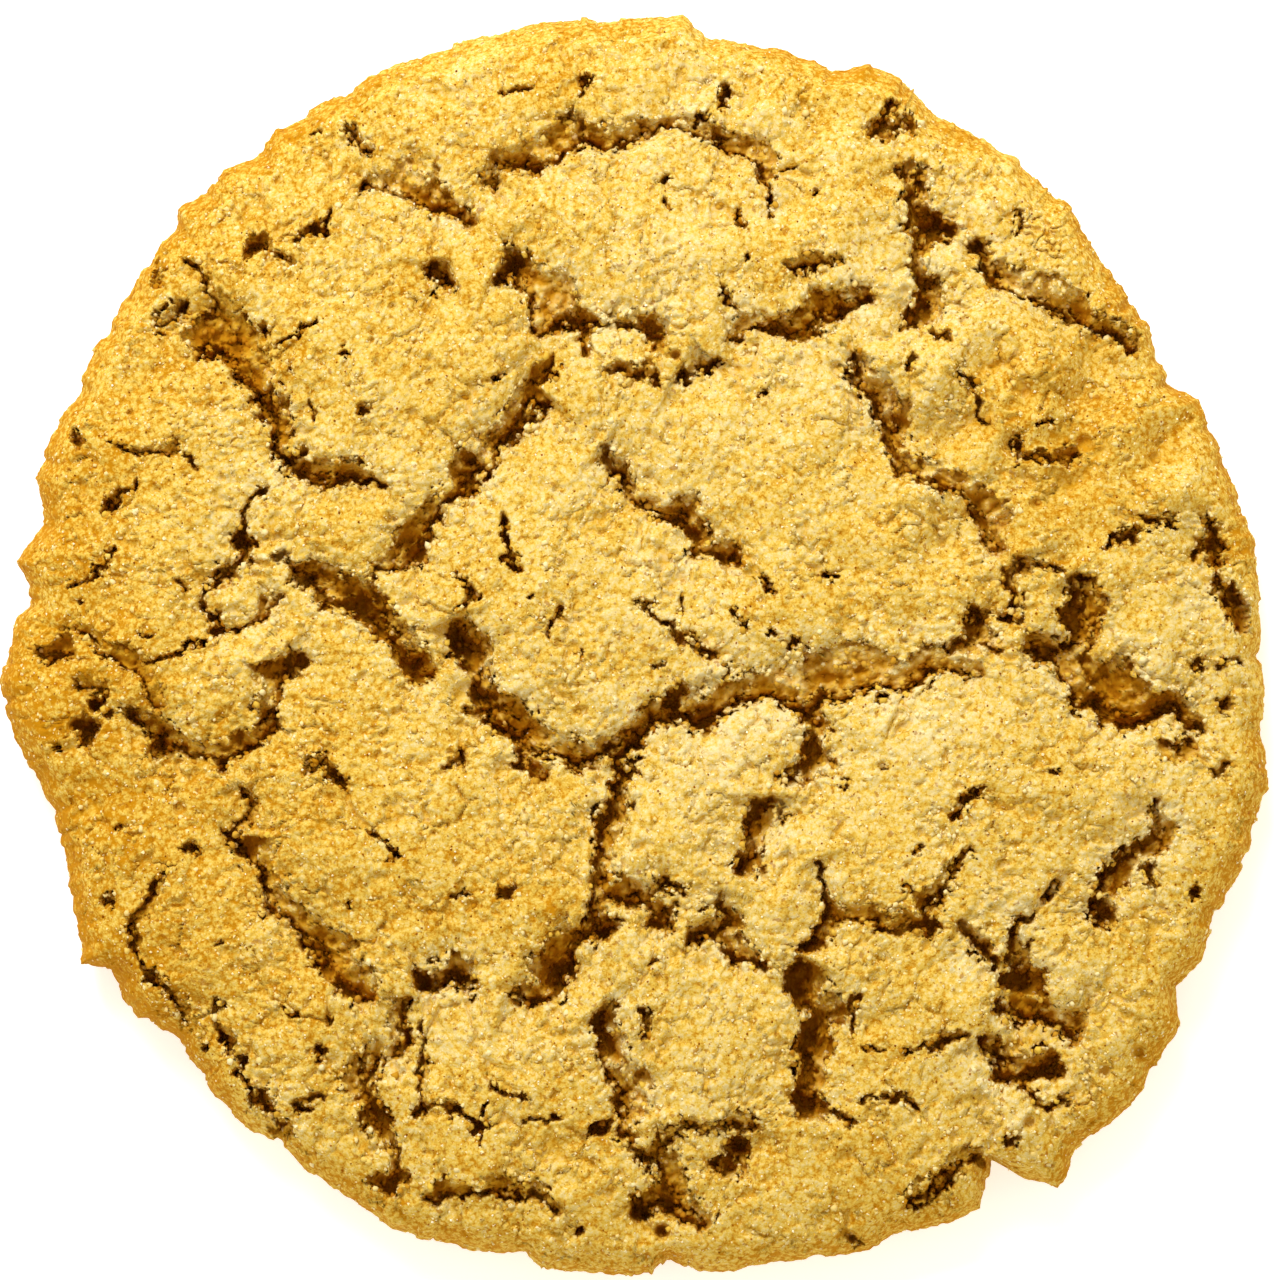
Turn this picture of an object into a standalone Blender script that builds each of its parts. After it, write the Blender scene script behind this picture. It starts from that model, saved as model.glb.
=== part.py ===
"""A round lemon cookie with a cracked, crusty top, baked as one piece.

Run it with: blender --background --python part.py

The body starts as a square grid that is pressed into a disc. Its edge follows the uneven outline of the baked
dough, its top swells into plates between the cracks, and its side is drawn down from the edge to a flat
underside. Each crack is then cut out by a tapered groove laid along its route.

The cookie stands on Z = 0, with its origin under the middle of its outline. Sizes are metres.
"""

import bisect
import math
import random

import bmesh
import bpy
from mathutils import Vector, noise

MM = 0.001
SEED = 7

# The whole cookie
NODE_NAME = "cookie"
CRUST_COLOUR = (0.66, 0.39, 0.085, 1.0)
CRUST_ROUGHNESS = 0.85

# Its outline: each crag and dent of the rim, as its direction in degrees from +X and its radius in millimetres
RIM_CORNERS = (
    (0, 44.0), (10, 43.9), (20, 43.2), (26, 41.9), (40, 42.4), (45, 43.3), (52, 43.3), (60, 42.7),
    (66, 43.9), (71, 42.6), (83, 42.9), (86, 44.3), (90, 43.9), (103, 44.2), (115, 44.0), (120, 43.7),
    (124, 44.2), (128, 43.4), (136, 44.1), (141, 43.3), (150, 43.0), (157, 42.8), (165, 43.4), (168, 42.4),
    (172, 43.5), (177, 43.4), (184, 44.4), (190, 43.5), (195, 42.6), (204, 43.5), (210, 44.7), (213, 43.3),
    (221, 42.6), (228, 43.4), (235, 43.3), (248, 44.4), (260, 43.7), (268, 44.2), (273, 43.4), (277, 44.4),
    (283, 44.4), (289, 45.5), (296, 45.6), (301, 46.5), (304.5, 44.4), (308, 48.2), (311, 47.0), (318, 47.6),
    (325, 46.5), (327.5, 44.9), (330, 45.7), (335, 45.0), (341, 45.6), (348, 45.3), (352, 44.4),
)

# Its thickness
CENTRE_HEIGHT = 10.8 * MM
SHOULDER_HEIGHT = 7.4 * MM
DOME_POWER = 3.4

# The side, from the shoulder down: how far each ring lies inside the outline, its height, and how far the dents of
# the outline are evened out there, as the foot spread smoothly on the tray
SHOULDER_INSET = 1.9 * MM
SIDE_RINGS = (
    (0.65 * MM, 5.6 * MM, 0.0),
    (0.0 * MM, 3.2 * MM, 0.0),
    (0.3 * MM, 1.2 * MM, 0.4),
    (1.4 * MM, 0.0 * MM, 0.8),
)
FOOT_SPREAD = math.radians(9.0)
FOOT_SAMPLES = 7

# The crust between the cracks
PLATE_SWELL = 1.0 * MM
PLATE_ROUNDING = 2.0 * MM
LIP_REACH = 5.0 * MM
RAMP_REACH = 3.5 * MM
RAMP_SHARE = 0.7
LUMPS = ((9.0 * MM, 0.45 * MM), (3.6 * MM, 0.22 * MM))

# The cutters that open the cracks
CRACK_STEP = 2.0 * MM
CRACK_WANDER = 0.35 * MM
CRACK_UNEVENNESS = 0.3
CRACK_TAPER = 3.0 * MM
CRACK_END_WIDTH = 0.3
CRACK_DEPTH_PER_WIDTH = 1.7

TOP_CELLS = 42

# The cracks: width and step in millimetres, then the route. The step is how much higher the crust stands on the
# left of the route than on its right; a negative step is higher on the right.
CRACKS = {
    "centre": (1.7, 1.0, (
        (-13.0, 1.8), (-11.3, -2.4), (-7.4, -7.1), (-1.9, -8.3), (0.4, -5.5), (5.0, -5.9), (8.6, -3.4),
        (13.2, -4.0), (19.2, -3.1), (24.8, -1.4))),
    "south_stem": (1.5, 0.2, (
        (-1.7, -9.2), (-2.6, -14.0), (-2.7, -20.3), (-5.8, -24.6), (-11.5, -23.9), (-15.8, -24.4),
        (-16.2, -28.0), (-18.3, -31.0), (-16.8, -36.0), (-18.5, -39.5))),
    "south_middle": (1.5, -0.3, (
        (-3.4, -25.4), (-1.6, -30.6), (-0.5, -34.8), (2.2, -38.4), (2.0, -41.6))),
    "south_branch": (0.9, 0.5, ((0.9, -35.6), (4.2, -33.9), (9.4, -33.4))),
    "south_east_arc": (1.1, 0.2, ((-2.4, -17.8), (1.6, -18.4), (5.6, -20.6), (10.6, -22.4))),
    "east_of_middle": (1.2, -0.2, ((12.0, -4.8), (12.4, -8.0), (9.2, -11.0), (6.4, -16.4), (5.6, -20.2))),
    "south_east_long": (1.4, 0.5, (
        (12.3, -13.5), (13.2, -19.3), (11.2, -24.0), (12.4, -27.0), (11.8, -33.0))),
    "south_east_shelf": (1.0, 0.2, ((13.8, -19.1), (20.2, -19.3), (23.2, -14.6))),
    "south_east_twin": (1.6, 0.3, ((28.2, -18.9), (26.4, -20.4), (26.3, -24.4))),
    "south_east_ledge": (1.4, 0.9, ((20.0, -28.0), (24.2, -27.4), (26.0, -30.4), (30.4, -28.8))),
    "east": (1.8, -0.5, (
        (15.4, 20.3), (17.2, 15.0), (18.6, 12.2), (22.6, 10.4), (25.2, 6.6), (26.2, 3.6))),
    "east_hollow": (1.8, 0.5, (
        (25.8, 0.8), (29.4, -1.6), (31.4, -4.8), (36.0, -5.4), (40.4, -5.0))),
    "east_rim": (1.0, 0.2, ((36.2, -10.6), (35.6, -14.2), (32.4, -16.8), (31.9, -20.2))),
    "north_east": (1.5, 0.0, (
        (18.3, 38.6), (17.6, 35.2), (19.2, 31.0), (19.7, 26.5), (19.0, 21.9))),
    "north_east_side": (1.4, 0.7, ((23.6, 28.6), (25.4, 25.2), (31.0, 22.9), (36.0, 20.0))),
    "north": (1.4, 0.0, (
        (-19.8, 37.0), (-18.0, 33.6), (-14.5, 30.7), (-10.6, 31.8), (-4.0, 35.2), (3.0, 36.1),
        (8.4, 33.8), (9.4, 30.0))),
    "north_valley": (1.6, 0.5, (
        (-10.0, 26.2), (-7.0, 24.2), (-5.6, 22.0), (0.4, 22.3), (3.2, 19.0), (7.0, 21.2), (12.4, 22.0),
        (17.2, 24.6))),
    "north_west_valley": (1.5, 0.9, (
        (-31.0, 20.6), (-27.6, 19.6), (-25.4, 13.6), (-22.4, 11.5), (-18.4, 11.2))),
    "west_of_middle": (1.5, -0.6, ((-5.7, 17.4), (-10.2, 13.4), (-14.4, 8.8), (-18.0, 4.6))),
    "west_loop": (1.1, 0.2, (
        (-25.7, 10.8), (-27.4, 7.0), (-30.0, 3.6), (-28.8, 0.9), (-24.6, 3.4))),
    "west_middle": (1.6, 0.3, ((-24.4, 5.2), (-19.4, 2.7), (-16.6, -0.8), (-12.0, -1.8))),
    "west_gully": (1.3, -0.6, ((-24.3, -0.2), (-25.0, -4.6), (-28.8, -8.8))),
    "west_ledge": (1.7, -0.7, ((-27.8, -7.7), (-32.9, -7.2), (-36.2, -5.4), (-40.4, -5.6))),
    "south_west": (1.7, 0.7, (
        (-28.6, -9.2), (-27.2, -13.6), (-25.0, -18.2), (-21.4, -22.4), (-17.8, -25.0))),
    "south_west_rim": (0.9, 0.0, ((-32.6, -15.3), (-35.3, -20.2), (-31.6, -25.8))),
    "south_west_low": (1.0, 0.0, ((-29.3, -24.8), (-27.6, -29.9), (-25.1, -35.2))),
}


def remove_scene_objects():
    """Empties the scene without closing the file."""
    for old_object in list(bpy.data.objects):
        bpy.data.objects.remove(old_object, do_unlink=True)


def new_collection(name):
    """Adds a collection to the scene."""
    collection = bpy.data.collections.new(name)
    bpy.context.scene.collection.children.link(collection)
    return collection


def rim_radius(angle):
    """Radius of the outline towards an angle, read along a smooth curve from one rim corner to the next."""
    degrees = math.degrees(angle) % 360.0
    corners = list(RIM_CORNERS) + [(RIM_CORNERS[0][0] + 360, RIM_CORNERS[0][1])]
    after = bisect.bisect_right([corner[0] for corner in corners], degrees)
    start_angle, start_radius = corners[after - 1]
    end_angle, end_radius = corners[after]
    share = (degrees - start_angle) / (end_angle - start_angle)
    eased = (1.0 - math.cos(math.pi * share)) / 2.0
    return (start_radius + (end_radius - start_radius) * eased) * MM


def side_of_route(x, y, route):
    """Distance from a route of points, and which side of it the place lies on: 1 left, -1 right, 0 past its ends."""
    here = Vector((x, y))
    nearest = (math.inf, 0.0)
    for index in range(len(route) - 1):
        start, end = Vector(route[index]) * MM, Vector(route[index + 1]) * MM
        along = end - start
        share = (here - start).dot(along) / along.length_squared
        foot = start + along * min(max(share, 0.0), 1.0)
        distance = (here - foot).length
        if distance < nearest[0]:
            past_start = index == 0 and share < 0.0
            past_end = index == len(route) - 2 and share > 1.0
            cross = along.x * (here - start).y - along.y * (here - start).x
            side = 0.0 if past_start or past_end else math.copysign(1.0, cross)
            nearest = (distance, side)
    return nearest


def crust_height(x, y):
    """Height of the crust before the cracks are cut.

    A flattened dome, plus plates that swell away from the nearest crack, plus the step across each crack, where one
    plate stands up as a lip and the other ramps down below it, plus the lumps of the dough.
    """
    reach = math.hypot(x, y) / rim_radius(math.atan2(y, x))
    height = SHOULDER_HEIGHT + (CENTRE_HEIGHT - SHOULDER_HEIGHT) * (1.0 - reach ** DOME_POWER)
    nearest = math.inf
    for _width, step, route in CRACKS.values():
        distance, side = side_of_route(x, y, route)
        nearest = min(nearest, distance)
        raised = side * step > 0.0
        fall = math.exp(-distance / (LIP_REACH if raised else RAMP_REACH))
        height += side * step * MM * fall * (1.0 if raised else RAMP_SHARE) / 2.0
    edge_fade = 1.0 - reach ** 8
    height += PLATE_SWELL * (1.0 - math.exp(-nearest / PLATE_ROUNDING)) * edge_fade
    for lump_size, lump_height in LUMPS:
        height += lump_height * noise.noise(Vector((x, y, lump_size)) / lump_size)
    return height


def place_on_disc(u, v):
    """Presses the square from -1 to 1 into a disc of radius 1: each square ring becomes a round one."""
    if u == 0.0 and v == 0.0:
        return 0.0, 0.0
    if abs(u) > abs(v):
        ring, angle = u, math.pi / 4.0 * v / u
    else:
        ring, angle = v, math.pi / 2.0 - math.pi / 4.0 * u / v
    return ring * math.cos(angle), ring * math.sin(angle)


def even_radius(angle):
    """The outline without its small dents: the mean radius over a short stretch of the rim."""
    offsets = [FOOT_SPREAD * (2.0 * index / (FOOT_SAMPLES - 1) - 1.0) for index in range(FOOT_SAMPLES)]
    return sum(rim_radius(angle + offset) for offset in offsets) / FOOT_SAMPLES


def side_point(angle, inset, evenness):
    """A place on a ring of the side, drawn in from the outline by the inset."""
    radius = rim_radius(angle) * (1.0 - evenness) + even_radius(angle) * evenness - inset
    return radius * math.cos(angle), radius * math.sin(angle)


def body_mesh():
    """The uncut cookie: a grid pressed into the outline, with its edge drawn down as the side and then closed."""
    body = bmesh.new()
    bmesh.ops.create_grid(body, x_segments=TOP_CELLS, y_segments=TOP_CELLS, size=1.0)
    for vertex in body.verts:
        disc_x, disc_y = place_on_disc(vertex.co.x, vertex.co.y)
        angle = math.atan2(disc_y, disc_x)
        radius = math.hypot(disc_x, disc_y) * (rim_radius(angle) - SHOULDER_INSET)
        x, y = radius * math.cos(angle), radius * math.sin(angle)
        vertex.co = (x, y, crust_height(x, y))
    edge_loop = [edge for edge in body.edges if edge.is_boundary]
    for inset, height, evenness in SIDE_RINGS:
        drawn = bmesh.ops.extrude_edge_only(body, edges=edge_loop)["geom"]
        for vertex in drawn:
            if isinstance(vertex, bmesh.types.BMVert):
                x, y = side_point(math.atan2(vertex.co.y, vertex.co.x), inset, evenness)
                vertex.co = (x, y, height)
        edge_loop = [edge for edge in drawn if isinstance(edge, bmesh.types.BMEdge) and edge.is_boundary]
    bmesh.ops.contextual_create(body, geom=edge_loop)
    bmesh.ops.triangulate(body, faces=body.faces)
    bmesh.ops.recalc_face_normals(body, faces=body.faces)
    mesh = bpy.data.meshes.new(NODE_NAME)
    body.to_mesh(mesh)
    body.free()
    return mesh


def walk_route(route, step):
    """Evenly spaced places along a route, each with its distance from the nearer end."""
    corners = [Vector(point) * MM for point in route]
    lengths = [(end - start).length for start, end in zip(corners, corners[1:])]
    total = sum(lengths)
    count = max(3, round(total / step) + 1)
    places = []
    for index in range(count):
        left = total * index / (count - 1)
        to_end = min(left, total - left)
        piece = 0
        while piece < len(lengths) - 1 and left > lengths[piece]:
            left -= lengths[piece]
            piece += 1
        places.append((corners[piece].lerp(corners[piece + 1], left / lengths[piece]), to_end))
    return places


def crack_cutter(name, width, route, cutters, randomness):
    """A closed groove cutter: a tapered four-sided tube along the route, made deep and laid on the crust."""
    places = walk_route(route, CRACK_STEP)
    curve = bpy.data.curves.new(name, "CURVE")
    curve.dimensions = "3D"
    curve.bevel_depth = width * MM / 2.0
    curve.bevel_resolution = 0
    curve.use_fill_caps = True
    spline = curve.splines.new("POLY")
    spline.points.add(len(places) - 1)
    for point, (place, to_end) in zip(spline.points, places):
        wander_x = randomness.uniform(-CRACK_WANDER, CRACK_WANDER)
        wander_y = randomness.uniform(-CRACK_WANDER, CRACK_WANDER)
        point.co = (place.x + wander_x, place.y + wander_y, 0.0, 1.0)
        taper = CRACK_END_WIDTH + (1.0 - CRACK_END_WIDTH) * min(1.0, to_end / CRACK_TAPER)
        point.radius = taper * (1.0 + randomness.uniform(-CRACK_UNEVENNESS, CRACK_UNEVENNESS))
    guide = bpy.data.objects.new(name + "_guide", curve)
    cutters.objects.link(guide)
    bpy.context.view_layer.update()
    evaluated = guide.evaluated_get(bpy.context.evaluated_depsgraph_get())
    mesh = bpy.data.meshes.new_from_object(evaluated)
    cutter = bpy.data.objects.new(name + "_cutter", mesh)
    cutter.matrix_world = guide.matrix_world
    bpy.data.objects.remove(guide, do_unlink=True)
    groove = bmesh.new()
    groove.from_mesh(mesh)
    bmesh.ops.remove_doubles(groove, verts=groove.verts, dist=0.00001)
    for vertex in groove.verts:
        lift = vertex.co.z * 2.0 * CRACK_DEPTH_PER_WIDTH
        vertex.co.z = crust_height(vertex.co.x, vertex.co.y) + lift
    bmesh.ops.triangulate(groove, faces=groove.faces)
    bmesh.ops.recalc_face_normals(groove, faces=groove.faces)
    groove.to_mesh(mesh)
    groove.free()
    cutters.objects.link(cutter)
    cutter.hide_render = True
    cutter.display_type = "WIRE"
    return cutter


def crust_material():
    """Matte golden crust."""
    material = bpy.data.materials.new("baked_crust")
    material.use_nodes = True
    shader = material.node_tree.nodes["Principled BSDF"]
    shader.inputs["Base Color"].default_value = CRUST_COLOUR
    shader.inputs["Roughness"].default_value = CRUST_ROUGHNESS
    shader.inputs["Metallic"].default_value = 0.0
    return material


def main():
    remove_scene_objects()
    parts = new_collection("lemon_cookie")
    cutters = new_collection("lemon_cookie_cutters")
    randomness = random.Random(SEED)
    cookie = bpy.data.objects.new(NODE_NAME, body_mesh())
    cookie.data.materials.append(crust_material())
    parts.objects.link(cookie)
    for name, (width, _step, route) in CRACKS.items():
        cut = cookie.modifiers.new(name, "BOOLEAN")
        cut.operation = "DIFFERENCE"
        cut.solver = "EXACT"
        cut.object = crack_cutter(name, width, route, cutters, randomness)


main()
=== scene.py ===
# %% [markdown]
# # A cracked lemon cookie, seen from above
#
# The real thing is one round of dough. In the oven its sugared skin dries and sets first, the soft middle
# goes on rising, and the skin tears into plates. Between the plates the moist crumb shows: ragged walls,
# ramps and dark gaps. The frame holds the plain cookie as one solid. Here it gets its skin, its tears, its
# crumbs and its colours. Four closed quarters that meet without a visible seam make the cookie, and joined
# meshes make the grains on it.

import bmesh
import bpy
import numpy as np
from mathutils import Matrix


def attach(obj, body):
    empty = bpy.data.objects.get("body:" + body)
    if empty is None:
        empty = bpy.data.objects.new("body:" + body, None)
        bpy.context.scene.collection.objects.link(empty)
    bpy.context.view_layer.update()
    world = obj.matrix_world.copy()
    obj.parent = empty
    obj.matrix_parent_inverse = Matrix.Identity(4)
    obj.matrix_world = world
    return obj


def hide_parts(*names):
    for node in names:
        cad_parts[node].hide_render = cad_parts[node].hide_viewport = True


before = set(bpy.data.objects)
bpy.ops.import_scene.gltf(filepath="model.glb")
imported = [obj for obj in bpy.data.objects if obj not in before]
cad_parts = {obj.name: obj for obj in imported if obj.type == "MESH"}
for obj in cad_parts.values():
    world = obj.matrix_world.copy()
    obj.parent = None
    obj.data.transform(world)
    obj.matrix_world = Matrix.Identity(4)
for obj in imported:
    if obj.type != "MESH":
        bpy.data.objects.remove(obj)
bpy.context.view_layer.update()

# %% [markdown]
# ## Working in millimetres
#
# Crumbs and cracks are fractions of a millimetre, so every size below is in millimetres and is turned into
# metres only when a mesh is made. X points to the right of the cookie as seen from above, Y to its top, Z
# up.

# %% Units and seeds
MM = 0.001
WARP_SEED, LOBE_SEED, LUMP_SEED, CRUMB_SEED = 11, 23, 37, 51
cookie_node = "cookie"

# %% [markdown]
# ## Kinds of randomness
#
# Baked dough is uneven in several ways, and each has its own formula. Rolling unevenness is gradient noise:
# a random slope on each point of a lattice, blended smoothly in between. Roughness is the same noise added
# up at halving sizes, and creased lumps are the same noise folded at zero. Grains are cells: each place
# looks for the nearest of the randomly set grain centres, which gives rounded lumps with sharp creases
# between them. Flakes are cells too, but each is flat and has one random height, as torn bits of crust do.
# All work on whole arrays of places at once.

# %% Noise tools
AXIS_FACTORS = np.array((73856093, 19349663, 83492791), dtype=np.uint32)
MIX_FACTORS = np.array((2654435761, 2246822519, 3266489917), dtype=np.uint32)
SEED_FACTOR, SEED_START = 7919, 12345
NOISE_GAIN = 2.4
FAR_AWAY = 9.0


def lattice_random(cells, seed):
    """A number from 0 to 1 for each lattice cell.

    The cell's three whole numbers and the seed are multiplied by large odd numbers, shifted and mixed.
    """
    mixed = cells[..., 0].astype(np.uint32) * AXIS_FACTORS[0]
    mixed = mixed ^ cells[..., 1].astype(np.uint32) * AXIS_FACTORS[1]
    mixed = mixed ^ cells[..., 2].astype(np.uint32) * AXIS_FACTORS[2]
    mixed = (mixed ^ np.uint32(seed * SEED_FACTOR + SEED_START)) * MIX_FACTORS[0]
    mixed = (mixed ^ (mixed >> np.uint32(15))) * MIX_FACTORS[1]
    mixed = (mixed ^ (mixed >> np.uint32(13))) * MIX_FACTORS[2]
    return (mixed ^ (mixed >> np.uint32(16))).astype(np.float64) / 2.0 ** 32


def rolling(places, size, seed):
    """Gradient noise from about -1 to 1: each lattice corner's random slope times the way to it, blended."""
    scaled = places / size
    cells = np.floor(scaled).astype(np.int64)
    part = scaled - cells
    eased = part ** 3 * (part * (part * 6.0 - 15.0) + 10.0)
    total = np.zeros(len(places))
    for corner in range(8):
        step = np.array((corner & 1, corner >> 1 & 1, corner >> 2 & 1))
        corner_cells = cells + step
        weight = np.prod(np.where(step == 1, eased, 1.0 - eased), axis=1)
        slope = np.stack([lattice_random(corner_cells, seed * 3 + axis) - 0.5 for axis in range(3)], axis=1)
        total += weight * np.sum(slope * (part - step), axis=1)
    return total * NOISE_GAIN


def rough(places, size, seed, layers=3):
    """Rolling noise added up at halving sizes, each layer half as strong as the one before."""
    return sum(rolling(places, size / 2 ** layer, seed + layer) / 2 ** layer for layer in range(layers))


def creased(places, size, seed, layers=3):
    """Rolling noise folded at zero and added up at halving sizes: rounded lumps with sharp creases."""
    return sum(np.abs(rolling(places, size / 2 ** layer, seed + layer)) / 2 ** layer
               for layer in range(layers))


def grains(places, size, seed):
    """Distances to the nearest and second nearest centre of a jittered lattice, as shares of a cell."""
    scaled = places / size
    cells = np.floor(scaled).astype(np.int64)
    nearest = np.full(len(places), FAR_AWAY)
    second = np.full(len(places), FAR_AWAY)
    for shift in np.ndindex(3, 3, 3):
        near_cells = cells + (np.array(shift) - 1)
        jitter = np.stack([lattice_random(near_cells, seed * 5 + axis) for axis in range(3)], axis=1)
        distance = np.linalg.norm(scaled - (near_cells + jitter), axis=1)
        second = np.minimum(second, np.maximum(distance, nearest))
        nearest = np.minimum(nearest, distance)
    return nearest, second


def flakes(places, size, seed):
    """A random number from -1 to 1 for the flake that each place falls in.

    A flake is all that lies nearest to one jittered centre on the plane, as in a crust broken into bits.
    """
    scaled = places / size
    cells = np.floor(scaled).astype(np.int64)
    cells[:, 2] = 0
    nearest = np.full(len(places), FAR_AWAY)
    tone = np.zeros(len(places))
    for shift in np.ndindex(3, 3):
        near_cells = cells + np.array((shift[0] - 1, shift[1] - 1, 0))
        centre = [near_cells[:, axis] + lattice_random(near_cells, seed * 5 + axis) for axis in range(2)]
        distance = np.hypot(scaled[:, 0] - centre[0], scaled[:, 1] - centre[1])
        tone = np.where(distance < nearest, 2.0 * lattice_random(near_cells, seed * 5 + 2) - 1.0, tone)
        nearest = np.minimum(nearest, distance)
    return tone


def ease(share):
    """Smooth step from 0 to 1: three times the square less twice the cube, held at the ends."""
    share = np.clip(share, 0.0, 1.0)
    return share * share * (3.0 - 2.0 * share)


def flat_places(x, y, level=0.0):
    """Places on the plane at a level, as an array of rows x, y, z."""
    return np.stack((x, y, np.full_like(x, level)), axis=1)


sample_places = flat_places(np.arange(3.0), np.arange(3.0))
print("noise tools ready; sample of lumps:", np.round(grains(sample_places, 1.0, 1)[0], 2))

# %% [markdown]
# ## The outline
#
# The dough spread unevenly: nearly round, with a bulge to the lower right, small crags where plates end and
# a few dents between them. A circle would be too clean and a traced edge would be a table of numbers, so
# the rim is a short list of its corners, each a direction in degrees and a radius, joined by straight runs
# and roughened.

# %% Rim of the cookie
RIM_CORNERS = (
    (0, 44.0), (10, 43.9), (20, 43.2), (23.5, 43.1), (26, 41.8), (32, 42.3), (40, 42.4), (45, 43.3),
    (48, 42.9), (52, 43.4), (60, 42.7), (63, 43.6), (68, 43.8), (71, 42.6), (75, 43.0), (83, 42.9),
    (85.5, 44.3), (90, 43.9), (100, 44.1), (108, 44.1), (115, 44.0), (120, 43.7), (125, 43.9),
    (127.5, 43.2), (131, 43.9), (133.5, 43.5), (136.5, 44.2), (137.3, 43.6), (139.7, 43.6), (142, 43.0),
    (142.5, 43.4), (144.5, 43.0), (149.5, 43.0), (154.3, 43.3), (155, 42.5), (158, 43.2), (164.5, 43.6),
    (167, 42.8), (168.5, 42.2), (170.6, 43.0), (172.5, 43.6), (174.5, 42.7), (176.5, 42.7), (177.5, 43.4),
    (183.5, 44.6), (187.7, 44.2), (189.2, 43.7), (192.4, 43.2), (196.5, 42.3), (201, 42.8), (205.5, 43.9),
    (208.5, 44.1), (210, 44.8), (211.8, 43.4), (217, 43.8), (217.6, 43.3), (221, 42.6), (224.5, 42.6),
    (227.2, 43.5), (231.5, 43.5), (234.5, 43.2), (240, 43.7), (249, 44.5), (255, 44.1), (260, 43.5),
    (262, 44.5), (268.5, 44.1), (271.5, 44.5), (273, 43.3), (277, 44.4), (283, 44.4), (289, 45.5),
    (296, 45.6), (301.4, 46.6), (302.6, 45.7), (304.7, 44.0), (306, 46.6), (308, 48.3), (311, 47.0),
    (314, 47.2), (318.6, 47.7), (320.4, 47.1), (325, 46.5), (327.5, 44.8), (330, 45.7), (335, 45.0),
    (338, 45.1), (341.5, 45.7), (345, 45.2), (348, 45.4), (352, 44.4), (356, 44.2),
)
RIM_STEPS = 4096
RIM_ROUGHNESS, RIM_CHIPS = (2.6, 0.16), (3.4, 0.4)
RIM_FLAKES, RIM_FLAKE_WARP = ((3.2, 0.14), (1.5, 0.12), (0.7, 0.05)), (0.9, 0.5)


def rim_radius(angle):
    """Radius towards an angle: straight runs between the rim corners."""
    corner_angles, corner_radii = np.array(RIM_CORNERS).T
    return np.interp(np.degrees(angle) % 360.0, corner_angles, corner_radii, period=360.0)


rim_angles = np.linspace(-np.pi, np.pi, RIM_STEPS, endpoint=False)
print("mean radius, mm:", round(float(rim_radius(rim_angles).mean()), 2))
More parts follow.
